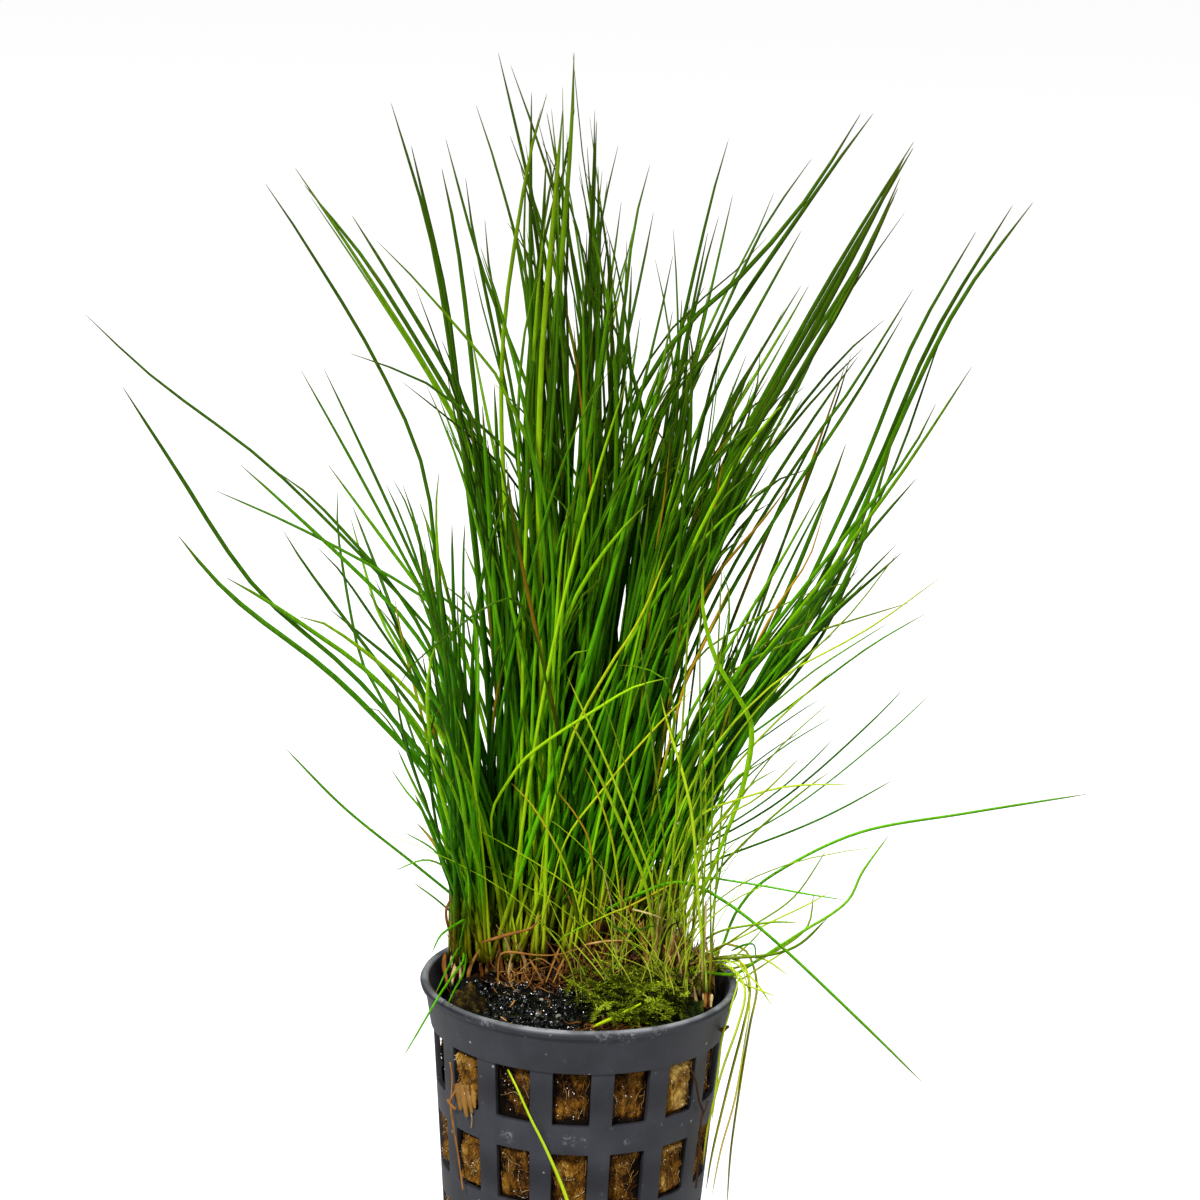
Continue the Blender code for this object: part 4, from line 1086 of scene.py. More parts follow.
# The collar from the inside over the lip to its outer foot: radius, and depth below the rim.
COLLAR = ((25.2 * MM, 1.2 * MM), (25.6 * MM, 0.3 * MM), (26.1 * MM, 0), (26.7 * MM, 0.15 * MM),
          (27.0 * MM, 0.75 * MM), (26.8 * MM, 1.4 * MM), (26.15 * MM, 1.65 * MM), (25.05 * MM, 8.0 * MM))


def wall_radius(z):
    """Outer radius of the slotted wall at a height."""
    return WALL_TOP_RADIUS - WALL_TAPER * (POT_HEIGHT - WALL_TOP_DEPTH - z)


def row_edges(row):
    """Heights of the top and the foot of a row of windows."""
    top = POT_HEIGHT - WALL_TOP_DEPTH - row * (WINDOW_HEIGHT + HOOP_HEIGHT)
    return (top - COLLAR_STEP if row == 0 else top), top - WINDOW_HEIGHT


def pot_section():
    """From the middle of the floor up the inside, over the lip and down to the middle of the underside."""
    heights = [height for row in range(WINDOW_ROWS) for height in row_edges(row)]
    outer = [(wall_radius(height), height) for height in heights]
    inner = [(radius - WALL_THICKNESS, height) for radius, height in reversed(outer)]
    collar = [(radius, POT_HEIGHT - depth) for radius, depth in COLLAR]
    floor = [(radius, POT_FLOOR) for radius in (0, *SLOT_RADII, wall_radius(POT_FLOOR) - WALL_THICKNESS)]
    foot = [(wall_radius(POT_FOOT), POT_FOOT)]
    underside = [(radius, 0) for radius in (wall_radius(0) - FOOT_CHAMFER, *reversed(SLOT_RADII), 0)]
    return floor + inner + collar + outer + foot + underside


WALL_SEARCH = (0.8, 1.1)
WALL_SEARCH_STEPS = 4000


def on_wall(pixel, stand_off):
    """The point seen at a pixel, this far outside the front of the slotted wall."""
    ray = line_of_sight(pixel)
    near, far = WALL_SEARCH
    steps = np.linspace(near, far, WALL_SEARCH_STEPS) * EYE_DISTANCE / ray.length
    points = np.array(EYE) + steps[:, None] * np.array(ray)
    radii = np.hypot(points[:, 0], points[:, 1])
    outside = radii - stand_off - WALL_TOP_RADIUS + WALL_TAPER * (POT_HEIGHT - WALL_TOP_DEPTH - points[:, 2])
    inside = np.flatnonzero(outside < 0)
    first = inside[0] if len(inside) else outside.argmin()
    return np.array(points[first])


print("points in the section:", len(pot_section()))

# %% Spin the section
POT_FACETS = 120
FACET = math.tau / POT_FACETS
WINDOW_COUNT = 15
WINDOW_FACETS = 5
WINDOW_PITCH = POT_FACETS // WINDOW_COUNT
WINDOW_MIDDLE = math.radians(-91.47)
FIRST_EDGE = WINDOW_MIDDLE - WINDOW_FACETS / 2 * FACET
MERGE_WITHIN = 0.01 * MM


def only(made):
    """Makes one object the only selected one and the active one."""
    bpy.ops.object.select_all(action="DESELECT")
    made.select_set(True)
    bpy.context.view_layer.objects.active = made


def started(name, add, **how):
    """A new piece, from one of Blender's operators that add a primitive."""
    bpy.ops.object.select_all(action="DESELECT")
    add(**how)
    made = bpy.context.object
    made.name = name
    return made


def painted(made, material):
    """Lays one finish on a piece, in place of any other."""
    made.data.materials.clear()
    made.data.materials.append(material)


def spun(name, section, facets, start):
    """A turned shell: a vertex extruded along the section and spun round the upright axis."""
    made = started(name, bpy.ops.mesh.primitive_plane_add, size=MM)
    outward = Vector((math.cos(start), math.sin(start), 0))
    places = [outward * radius + Vector((0, 0, height)) for radius, height in section]
    bpy.ops.object.mode_set(mode="EDIT")
    bpy.ops.mesh.merge(type="CENTER")
    bpy.ops.transform.translate(value=places[0])
    for here, onward in zip(places, places[1:]):
        bpy.ops.mesh.extrude_region_move(TRANSFORM_OT_translate={"value": onward - here})
    bpy.ops.mesh.select_all(action="SELECT")
    bpy.ops.mesh.spin(steps=facets, angle=math.tau, center=(0, 0, 0), axis=(0, 0, 1))
    bpy.ops.mesh.select_all(action="SELECT")
    bpy.ops.mesh.remove_doubles(threshold=MERGE_WITHIN)
    bpy.ops.mesh.normals_make_consistent(inside=False)
    bpy.ops.object.mode_set(mode="OBJECT")
    return made


pot = spun("net_pot_shell", pot_section(), POT_FACETS, FIRST_EDGE)
print("faces in the shell:", len(pot.data.polygons))


# %% Open the windows and the floor slots
FLOOR_SLOTS = 10
SLOT_PITCH = POT_FACETS // FLOOR_SLOTS
SLOT_FACETS = (1, 2, 3, 4)


def facet_of(place):
    """Which facet of the shell a place lies on, counted from the edge of the front window."""
    return (math.atan2(place.y, place.x) - FIRST_EDGE) % math.tau / FACET


def bridge_faces(made, chosen):
    """Takes away the chosen faces of both skins and joins the two edges they leave."""
    skin = bmesh.from_edit_mesh(made.data)
    for face in skin.faces:
        face.select = chosen(face.calc_center_median())
    bmesh.update_edit_mesh(made.data)
    bpy.ops.mesh.bridge_edge_loops()


only(pot)
bpy.ops.object.mode_set(mode="EDIT")
bpy.ops.mesh.select_mode(type="FACE")
for row in range(WINDOW_ROWS):
    top, foot = row_edges(row)
    for number in range(WINDOW_COUNT):
        facets = range(number * WINDOW_PITCH, number * WINDOW_PITCH + WINDOW_FACETS)
        bridge_faces(pot, lambda middle: foot < middle.z < top and int(facet_of(middle)) in facets)
for number in range(FLOOR_SLOTS):
    facets = [number * SLOT_PITCH + facet for facet in SLOT_FACETS]
    bridge_faces(pot, lambda middle: middle.z < POT_FLOOR + MERGE_WITHIN and int(facet_of(middle)) in facets
                 and SLOT_RADII[0] < math.hypot(middle.x, middle.y) < SLOT_RADII[1])
bpy.ops.object.mode_set(mode="OBJECT")
print("windows:", WINDOW_ROWS * WINDOW_COUNT, "faces:", len(pot.data.polygons))

# %% Round the windows' corners and every edge
CORNER_RADIUS = 0.25 * MM
EDGE_RADIUS = 0.13 * MM
EDGE_ANGLE = math.radians(28)
SMOOTH_ANGLE = math.radians(32)


def is_corner(edge):
    """An edge that runs through the wall at a corner of a window."""
    first, second = (vert.co for vert in edge.verts)
    through = abs(math.hypot(first.x, first.y) - math.hypot(second.x, second.y))
    place = round(facet_of(first), 2) % WINDOW_PITCH
    at_side = min(abs(place - side) for side in (0, WINDOW_FACETS, WINDOW_PITCH)) < 0.1
    level = abs(first.z - second.z) < MERGE_WITHIN
    return through > WALL_THICKNESS / 2 and level and at_side and first.z > POT_FLOOR


bpy.ops.object.mode_set(mode="EDIT")
bpy.ops.mesh.select_mode(type="EDGE")
bpy.ops.mesh.select_all(action="DESELECT")
shell = bmesh.from_edit_mesh(pot.data)
corners = [edge for edge in shell.edges if is_corner(edge)]
for edge in corners:
    edge.select = True
bmesh.update_edit_mesh(pot.data)
print("corners to round:", len(corners))
bpy.ops.mesh.bevel(offset=CORNER_RADIUS, segments=3, affect="EDGES")
bpy.ops.object.mode_set(mode="OBJECT")
soften = pot.modifiers.new("edges", "BEVEL")
soften.width = EDGE_RADIUS
soften.segments = 2
soften.limit_method = "ANGLE"
soften.angle_limit = EDGE_ANGLE
bpy.ops.object.modifier_apply(modifier=soften.name)
bpy.ops.object.shade_smooth_by_angle(angle=SMOOTH_ANGLE)
print("faces in the pot:", len(pot.data.polygons))

# %% [markdown]
# The plastic is carbon-black polypropylene, moulded with a satin skin. It scuffs to a pale grey where it is
# handled, above all on the lip, and holds dried specks of lime. All that is painted by the place on the
# pot: a soft mottle, faint upright flow lines, painted shade that darkens the bars between the windows, a
# pale line on the lip that is part painted highlight, part scuffing, smudges and small specks.

# %% The pot's finish
# Where the lip and the upper hoop are rubbed: the pixel and the size in millimetres.
LIP_RUBS = (((472, 1013), 1.6), ((486, 1019), 2.2), ((604, 1031), 2.5), ((626, 1030), 3.0),
            ((655, 1026), 2.5))
HOOP_RUBS = (
    ((507, 1136), 1.6), ((569, 1141), 1.4), ((583, 1140), 0.6), ((627, 1142), 0.7), ((611, 1129), 0.4),
    ((662, 1124), 0.4), ((682, 1125), 0.4), ((482, 1102), 0.4), ((481, 1077), 0.4), ((573, 1055), 0.4),
    ((563, 1068), 0.4), ((678, 1046), 0.4))
RUBS = [(at_height(pixel, POT_HEIGHT), size) for pixel, size in LIP_RUBS]
RUBS += [(on_wall(pixel, 0), size) for pixel, size in HOOP_RUBS]
# Flow lines run up the wall, 0.8 mm wide. Painted shade makes the bars darker than the hoops, in the rhythm
# of the rows.
FLOW_SCALE = (1 / (0.8 * MM), 1 / (0.8 * MM), 1 / (25 * MM))
ROW_TURN = math.tau / (WINDOW_HEIGHT + HOOP_HEIGHT)
ROW_MIDDLE = sum(row_edges(0)) / 2
LIP_FROM, LIP_TO = POT_HEIGHT - 0.5 * MM, POT_HEIGHT - 0.1 * MM


def rubbed_places(tree, place):
    """How much the plastic is rubbed: 1 in the middle of a rub, 0 outside all of them."""
    rubbed = None
    for point, size in RUBS:
        away = node(tree, "VectorMath", {0: place, 1: point}, operation="DISTANCE")
        near = node(tree, "MapRange", {"Value": away, "From Min": size * MM, "From Max": 0.3 * size * MM})
        rubbed = near if rubbed is None else node(tree, "Math", {0: rubbed, 1: near}, operation="MAXIMUM")
    return rubbed


def pot_finish():
    """Satin plastic: a mottle about 6 mm wide, flow lines, painted shade on the bars, smudges of 3 mm, lime
    specks, rubbed places, and a pale line on the lip that is part painted highlight, part scuffing.
    """
    made, tree, shader = finish("satin charcoal polypropylene", roughness=0.42, specular=0.42)
    place = node(tree, "TexCoord").outputs["Object"]
    mottle = node(tree, "TexNoise", {"Vector": place, "Scale": 1 / (6 * MM), "Detail": 4.0})
    colour = node(tree, "ValToRGB", {"Fac": mottle}, stops=((0.3, "2A2B31"), (0.7, "3A3B43")))
    drawn = node(tree, "Mapping", {"Vector": place, "Scale": FLOW_SCALE})
    flow = node(tree, "TexNoise", {"Vector": drawn, "Scale": 1.0, "Detail": 2.0})
    flow_light = node(tree, "MapRange", {"Value": flow, "To Min": 0.9, "To Max": 1.1})
    height = node(tree, "SeparateXYZ", {"Vector": place}).outputs["Z"]
    # Painted shade: the bars between the windows are darker than the hoops.
    phase = node(tree, "Math", {0: height, 1: ROW_TURN, 2: -ROW_TURN * ROW_MIDDLE}, operation="MULTIPLY_ADD")
    wave = node(tree, "Math", {0: phase}, operation="COSINE")
    bar_painted_shade = node(tree, "MapRange", {"Value": wave, "From Min": 1.0, "From Max": -0.2, "To Min": 0.55,
                                        "To Max": 0.96})
    lined = node(tree, "Math", {0: flow_light, 1: bar_painted_shade}, operation="MULTIPLY")
    lined = node(tree, "VectorMath", {0: colour, "Scale": lined}, operation="SCALE")
    # A pale line along the top of the lip: part painted highlight, part scuffing.
    lip = node(tree, "MapRange", {"Value": height, "From Min": LIP_FROM, "From Max": LIP_TO})
    scuff = node(tree, "TexNoise", {"Vector": place, "Scale": 1 / (1.6 * MM), "Detail": 5.0})
    lip_some = node(tree, "MapRange", {"Value": mottle, "From Min": 0.45, "From Max": 0.62, "To Min": 0.24,
                                       "To Max": 0.62})
    lip_highlight_and_wear = node(tree, "Math", {0: lip, 1: lip_some}, operation="MULTIPLY")
    rubbed = rubbed_places(tree, place)
    crazed = node(tree, "TexNoise", {"Vector": place, "Scale": 1 / (0.7 * MM), "Detail": 6.0,
                                     "Roughness": 0.7})
    crazed = node(tree, "MapRange", {"Value": crazed, "From Min": 0.48, "From Max": 0.62, "To Max": 0.5})
    rub_wear = node(tree, "Math", {0: rubbed, 1: crazed}, operation="MULTIPLY")
    smudge = node(tree, "TexNoise", {"Vector": place, "Scale": 1 / (3 * MM), "Detail": 6.0, "Roughness": 0.7})
    smudged = node(tree, "MapRange", {"Value": smudge, "From Min": 0.66, "From Max": 0.8, "To Max": 0.5})
    speck = node(tree, "TexVoronoi", {"Vector": place, "Scale": 1 / (2.2 * MM)}, feature="F1")
    speck_near = node(tree, "MapRange", {"Value": speck, "From Min": 0.13, "From Max": 0.05})
    speck_some = node(tree, "MapRange", {"Value": speck.outputs["Color"], "From Min": 0.62, "From Max": 0.66})
    specks = node(tree, "Math", {0: speck_near, 1: speck_some}, operation="MULTIPLY")
    wear_and_lip_highlight = lip_highlight_and_wear
    for other in (smudged, specks, rub_wear):
        wear_and_lip_highlight = node(tree, "Math", {0: wear_and_lip_highlight, 1: other}, operation="MAXIMUM")
    worn_and_lip_highlit = node(tree, "Mix", {0: wear_and_lip_highlight, 6: lined, 7: linear("A9ABB0")}, data_type="RGBA")
    tree.links.new(worn_and_lip_highlit.outputs[2], shader.inputs["Base Color"])
    satin = node(tree, "MapRange", {"Value": mottle, "To Min": 0.34, "To Max": 0.56})
    tree.links.new(satin.outputs["Result"], shader.inputs["Roughness"])
    bump = node(tree, "Bump", {"Height": scuff, "Strength": 0.12, "Distance": 0.05 * MM})
    tree.links.new(bump.outputs["Normal"], shader.inputs["Normal"])
    return made


painted(pot, pot_finish())
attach(pot, "root")
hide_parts("net_pot")
print("rubbed places:", len(RUBS))

# %% [markdown]
# ## The mineral wool plug
# The plant was raised in a plug of mineral wool, melted rock spun to hair-thin fibres. Here it is soaked and
# stained brown, and it fills the pot: behind the bars it is pressed flat, and in the windows it stands back
# or swells out. A cylinder is cut into rings in edit mode, and each point is then moved in or out by the
# window it lies in and by noise of a few sizes, as one would with a sculpting brush.

# %% The plug's form
PLUG_TOP = 6.0 * MM
PLUG_SIDES = 400
PLUG_RINGS = 130
PLUG_REACH = POT_HEIGHT - PLUG_TOP - POT_FLOOR - GAP
# How far the wool stands out or in at the windows that the picture shows, and how tan it is there, by row
# and by the window's place from the front one.
SEEN_WOOL = {
    (0, -3): (-0.6 * MM, 0.55), (0, -2): (1.25 * MM, 1.0), (0, -1): (-0.55 * MM, 0.0),
    (0, 0): (-0.35 * MM, 0.3), (0, 1): (-0.5 * MM, 0.45), (0, 2): (1.15 * MM, 1.7), (0, 3): (-0.1 * MM, 0.6),
    (1, -2): (0.9 * MM, 0.8), (1, -1): (0.1 * MM, 0.35), (1, 1): (-0.3 * MM, 0.3), (1, 2): (0.7 * MM, 0.85),
}
OTHER_WOOL = ((-0.7 * MM, 0.8 * MM), (0.15, 0.85))
# The wool has sunk away from the wall at the far left: the place, its size and its depth.
HOLLOW_ANGLE, HOLLOW_HEIGHT = math.radians(-173), POT_HEIGHT - 9.8 * MM
HOLLOW_WIDE, HOLLOW_TALL, HOLLOW_DEEP = math.radians(17), 3.6 * MM, 3.4 * MM
# Painted shade darkens the wool where it meets the bars, at the edges of each window.
EDGE_PAINTED_SHADE = 1.1
# The lumps that noise gives the wool, and its coarse hairs, which run up and down.
LUMP_SIZE = 3.4 * MM
HAIR_SIZES = (0.45 * MM, 0.45 * MM, 1.9 * MM)


def window_place(angle, z):
    """The window nearest to a place on the wall, and how far the place is from its middle: 1 at its edge."""
    turns = ((angle - WINDOW_MIDDLE + math.pi) % math.tau - math.pi) / (WINDOW_PITCH * FACET)
    number = round(turns)
    row = min(range(WINDOW_ROWS), key=lambda row: abs(z - sum(row_edges(row)) / 2))
    top, foot = row_edges(row)
    across = (turns - number) * WINDOW_PITCH / (WINDOW_FACETS / 2)
    return (row, number), across, (2 * z - top - foot) / (top - foot)


def wool_of(window):
    """Swell and tan of the wool at a window: as seen, or drawn by the window's own seed."""
    if window in SEEN_WOOL:
        return SEEN_WOOL[window]
    draw = np.random.default_rng(100 * window[0] + window[1] + 50)
    return draw.uniform(*OTHER_WOOL[0]), draw.uniform(*OTHER_WOOL[1])


def eased(value):
    """0 below 0, 1 above 1, and a soft step between."""
    value = min(1.0, max(0.0, value))
    return value * value * (3 - 2 * value)


def plug_place(angle, z):
    """Radius of the wool's surface, how far noise lifts it and how tan it is, less painted shade at the
    window's edges.
    """
    window, across, up = window_place(angle, z)
    swell, tan = wool_of(window)
    inside = eased((1 - abs(across)) / 0.3) * eased((1 - abs(up)) / 0.22)
    pressed = wall_radius(z) - WALL_THICKNESS - GAP
    here = Vector((math.cos(angle) * pressed, math.sin(angle) * pressed, z))
    lumps = noise.fractal(here / LUMP_SIZE, 1.0, 2.0, 4)
    hairs = noise.fractal(Vector([a / b for a, b in zip(here, HAIR_SIZES)]), 0.9, 2.0, 3)
    off = (angle - HOLLOW_ANGLE + math.pi) % math.tau - math.pi
    hollow = math.exp(-(off / HOLLOW_WIDE) ** 2 - ((z - HOLLOW_HEIGHT) / HOLLOW_TALL) ** 2)
    lift = 0.7 * lumps + 0.3 * hairs
    # The tan is lowered by painted shade towards the edges of the window.
    return pressed + inside * (swell + lift * MM) - HOLLOW_DEEP * hollow, lift, tan - EDGE_PAINTED_SHADE * (1 - inside)


plug = started("wool_plug", bpy.ops.mesh.primitive_cylinder_add, vertices=PLUG_SIDES, radius=BED_RADIUS,
               depth=PLUG_REACH, location=(0, 0, POT_FLOOR + GAP + PLUG_REACH / 2))
bpy.ops.object.transform_apply(location=True)
bpy.ops.object.mode_set(mode="EDIT")
bpy.ops.mesh.select_mode(type="EDGE")
bpy.ops.mesh.select_all(action="DESELECT")
wool = bmesh.from_edit_mesh(plug.data)
for edge in wool.edges:
    edge.select = abs(edge.verts[0].co.z - edge.verts[1].co.z) > PLUG_REACH / 2
bmesh.update_edit_mesh(plug.data)
bpy.ops.mesh.subdivide(number_cuts=PLUG_RINGS)
bpy.ops.object.mode_set(mode="OBJECT")
lifts, tans = [], []
for vert in plug.data.vertices:
    turned_by = math.atan2(vert.co.y, vert.co.x)
    radius, lift, tan = plug_place(turned_by, vert.co.z)
    vert.co.x, vert.co.y = radius * math.cos(turned_by), radius * math.sin(turned_by)
    lifts.append(lift)
    tans.append(tan)
keep_numbers(plug.data, {"lift": lifts, "tan": tans})
plug.data.shade_smooth()
print("faces in the plug:", len(plug.data.polygons))

# %% [markdown]
# Wet mineral wool is a felt of crossing hairs with no shine of its own. Its stain goes from near black over
# rust brown to tan where it has dried, with painted shade in the hollows and painted light on the lumps, and
# the hairs are drawn as noise pulled out along the wall's height, 0.3 mm wide and 0.9 mm long, which is
# coarser than the real ones, so that it shows.

# %% The wool's finish
FELT_SCALE = (1 / (0.3 * MM), 1 / (0.3 * MM), 1 / (0.9 * MM))


def felt_finish(name, *stops):
    """A matt felt whose colour follows how far it stands out, as painted shade in its hollows, how dry it is
    and its hairs.
    """
    made, tree, shader = finish(name, roughness=0.85, specular=0.1)
    place = node(tree, "TexCoord").outputs["Object"]
    lift = node(tree, "Attribute", attribute_name="lift").outputs["Fac"]
    dry = node(tree, "Attribute", attribute_name="tan").outputs["Fac"]
    drawn = node(tree, "Mapping", {"Vector": place, "Scale": FELT_SCALE})
    hairs = node(tree, "TexNoise", {"Vector": drawn, "Scale": 0.7, "Detail": 4.0, "Distortion": 1.6})
    stain = node(tree, "TexNoise", {"Vector": place, "Scale": 1 / (1.3 * MM), "Detail": 8.0,
                                    "Roughness": 0.78})
    # Painted shade: the lower a place lies, the darker it is, and the higher, the lighter.
    shown = node(tree, "Math", {0: lift, 1: 0.55, 2: stain}, operation="MULTIPLY_ADD")
    shown = node(tree, "Math", {0: dry, 1: 0.42, 2: shown}, operation="MULTIPLY_ADD")
    shown = node(tree, "Math", {0: hairs, 1: 0.75, 2: shown}, operation="MULTIPLY_ADD")
    spread = node(tree, "MapRange", {"Value": shown, "From Min": 0.62, "From Max": 1.55})
    colour = node(tree, "ValToRGB", {"Fac": spread}, stops=stops)
    tree.links.new(colour.outputs["Color"], shader.inputs["Base Color"])
    bump = node(tree, "Bump", {"Height": hairs, "Strength": 1.0, "Distance": 0.4 * MM})
    tree.links.new(bump.outputs["Normal"], shader.inputs["Normal"])
    return made


WOOL = felt_finish("stained mineral wool", (0.0, "0C0602"), (0.28, "331C06"), (0.52, "70470E"),
                   (0.8, "9C6E22"), (1.0, "CCA858"))
painted(plug, WOOL)
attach(plug, "root")
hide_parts("rockwool_plug")
print("plug finished:", WOOL.name)

# %% [markdown]
# In the windows single hairs and bits of root lie loose on the felt. They are thin three-sided tubes that
# wander over the surface, and tiny beads of lime and water between them catch the light.

# %% Loose hairs in the windows
def thread_finish(name, *stops, roughness=0.6, specular=0.3):
    """Thin dry threads: the tone of each one picks its colour, and a fine noise breaks it up."""
    made, tree, shader = finish(name, roughness, specular)
    tone = node(tree, "Attribute", attribute_name="tone").outputs["Fac"]
    place = node(tree, "TexCoord").outputs["Object"]
    spots = node(tree, "TexNoise", {"Vector": place, "Scale": 1 / (1.5 * MM), "Detail": 3.0})
    mixed = node(tree, "Math", {0: spots, 1: 0.3, 2: tone}, operation="MULTIPLY_ADD")
    level = node(tree, "Math", {0: mixed, 1: 0.15}, operation="SUBTRACT")
    colour = node(tree, "ValToRGB", {"Fac": level}, stops=stops)
    tree.links.new(colour.outputs["Color"], shader.inputs["Base Color"])
    return made


HAIR = thread_finish("loose wool hairs and roots", (0.0, "1A0E04"), (0.45, "6E4814"), (0.75, "A87C34"),
                     (0.95, "E4D4AA"))
HAIRS_A_WINDOW = 46
HAIR_RINGS = 7
HAIR_LENGTH = (1.2 * MM, 4.6 * MM)
HAIR_RADIUS = (0.04 * MM, 0.085 * MM)
HAIR_OFF = (0.0, 0.35 * MM)


def on_plug(window, across, up, off):
    """A point this far off the wool, at a place in a window."""
    row, number = window
    top, foot = row_edges(row)
    angle = WINDOW_MIDDLE + number * WINDOW_PITCH * FACET + across * WINDOW_FACETS / 2 * FACET
    z = (top + foot) / 2 + up * (top - foot) / 2
    radius = plug_place(angle, z)[0] + off
    return np.array([radius * math.cos(angle), radius * math.sin(angle), z])


def hairs_in(window, strands, draw):
    """The loose hairs of one window."""
    wide = WINDOW_FACETS / 2 * FACET * WALL_TOP_RADIUS
    for _ in range(HAIRS_A_WINDOW):
        across, up = draw.uniform(-0.85, 0.85), draw.uniform(-0.9, 0.9)
        heading, bend = draw.normal(math.pi / 2, 0.9), draw.uniform(-1.2, 1.2)
        step = draw.uniform(*HAIR_LENGTH) / HAIR_RINGS
        line = []
        for ring in range(HAIR_RINGS):
            arch = draw.uniform(*HAIR_OFF) + 0.05 * MM
            line.append(on_plug(window, max(-0.93, min(0.93, across)), max(-0.97, min(0.97, up)), arch))
            across += math.cos(heading) * step / wide
            up += math.sin(heading) * step / (WINDOW_HEIGHT / 2)
            heading += bend / HAIR_RINGS
        radii = draw.uniform(*HAIR_RADIUS) * np.linspace(1.0, 0.5, HAIR_RINGS)
        strands.add(np.array(line), radii, draw.beta(2.2, 2.6), flat=1.0)


hair_draw = np.random.default_rng(21)
hairs = Strands(3)
WINDOWS = [(row, number) for row in range(WINDOW_ROWS) for number in range(-7, 8)]
for window in WINDOWS:
    hairs_in(window, hairs, hair_draw)
hair_piece = hairs.made("wool_hairs", HAIR)
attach(hair_piece, "root")
print("hairs:", HAIRS_A_WINDOW * len(WINDOWS), "faces:", len(hair_piece.data.polygons))


# %% Small bodies, copied many times
def ball_form(subdivisions):
    """Points and faces of a unit ball of triangles."""
    bpy.ops.mesh.primitive_ico_sphere_add(subdivisions=subdivisions, radius=1)
    made = bpy.context.object
    points = np.array([tuple(vert.co) for vert in made.data.vertices])
    faces = np.array([tuple(face.vertices) for face in made.data.polygons])
    bpy.data.objects.remove(made)
    return points, faces


def any_turns(count, draw):
    """Random turns, as 3 x 3 matrices."""
    w, x, y, z = (lambda four: four / np.linalg.norm(four, axis=0))(draw.normal(size=(4, count)))
    rows = ((1 - 2 * (y * y + z * z), 2 * (x * y - z * w), 2 * (x * z + y * w)),
            (2 * (x * y + z * w), 1 - 2 * (x * x + z * z), 2 * (y * z - x * w)),
            (2 * (x * z - y * w), 2 * (y * z + x * w), 1 - 2 * (x * x + y * y)))
    return np.moveaxis(np.array(rows), 2, 0)


def scattered(name, form, places, sizes, draw, uneven, tones, material, smooth=False):
    """Copies of a small body, each turned at random and a little uneven, as one mesh."""
    points, faces = form
    count = len(places)
    bodies = points[None] * (1 + draw.uniform(-uneven, uneven, (count, len(points), 1)))
    bodies = bodies * np.asarray(sizes)[:, None, :]
    bodies = np.einsum("nij,npj->npi", any_turns(count, draw), bodies) + np.asarray(places)[:, None]
    shifted = (faces[None] + (np.arange(count) * len(points))[:, None, None]).reshape(-1, 3).tolist()
    values = {"tone": np.repeat(tones, len(points))}
    return joined_piece(name, bodies.reshape(-1, 3), shifted, material, values, smooth)


PEBBLE, BEAD = ball_form(2), ball_form(1)
BEADS_A_WINDOW = 16
BEAD_SIZE = (0.05 * MM, 0.13 * MM)
lime = thread_finish("lime and water beads", (0.0, "8A6A30"), (0.5, "D9CDAE"), (0.9, "FFFFFF"), roughness=0.2,
                     specular=0.6)
bead_draw = np.random.default_rng(22)
bead_places = [on_plug(window, bead_draw.uniform(-0.85, 0.85), bead_draw.uniform(-0.9, 0.9), 0.15 * MM)
               for window in WINDOWS for _ in range(BEADS_A_WINDOW)]
bead_sizes = np.repeat(bead_draw.uniform(*BEAD_SIZE, (len(bead_places), 1)), 3, axis=1)
beads = scattered("wool_beads", BEAD, bead_places, bead_sizes, bead_draw, 0.15,
                  bead_draw.uniform(0, 1, len(bead_places)), lime, smooth=True)
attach(beads, "root")
print("beads:", len(bead_places))

# %% [markdown]
# ## The ground inside the rim
# Four beds lie on the plug: matted roots under the plant, black gravel and moss in front of it, and a lump
# of wool at the left. Each starts as a grid that is drawn to the bed's outline. Its heights are read from
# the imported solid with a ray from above, a little noise roughens them, and the sheet is extruded down.

# %% The beds' surfaces
BED_FLOOR = POT_HEIGHT - PLUG_TOP + GAP
MAT_GAP = 0.5 * MM
MAT_SIDE = 22 * MM
BED_EDGES = {
    "gravel_bed": (-14.6 * MM, 3.6 * MM),
    "wool_lump": (-21.4 * MM, -15.1 * MM),
    "moss_patch": (4.1 * MM, 21.0 * MM),
    "root_mat": (-MAT_SIDE, MAT_SIDE),
}
LUMP_SINK = 1.9 * MM
LUMP_MIDDLE, LUMP_REACH, LUMP_EDGE = (-18.6 * MM, -4 * MM), (3.6 * MM, 7 * MM), 0.4
RAY_TRIES = 12
RAY_STEP = 0.06


def planted_edge(x):
    """How far back the bare front reaches: straight on the left, further forward on the right."""
    return PLANTED_LINE - EDGE_SLOPE * max(0.0, x - EDGE_BEND)


def wall_arc(x):
    """How far the wool reaches to the front and the back at a place across."""
    return math.sqrt(max(0.0, BED_RADIUS ** 2 - x * x))


def held_in(x, y):
    """The place itself, or the nearest one inside the wall."""
    reach = max(1.0, math.hypot(x, y) / (BED_RADIUS - 0.4 * MM))
    return x / reach, y / reach


def bed_span(name, x):
    """The front and the back of a bed at a place across."""
    if name == "root_mat":
        return planted_edge(x) + MAT_GAP, wall_arc(x)
    return -wall_arc(x), planted_edge(x)


def solid_tree(name):
    """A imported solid, ready for rays."""
    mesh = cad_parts[name].data
    faces = [tuple(face.vertices) for face in mesh.polygons]
    return BVHTree.FromPolygons([vert.co for vert in mesh.vertices], faces)


BED_TREES = {name: solid_tree(name) for name in BED_EDGES}


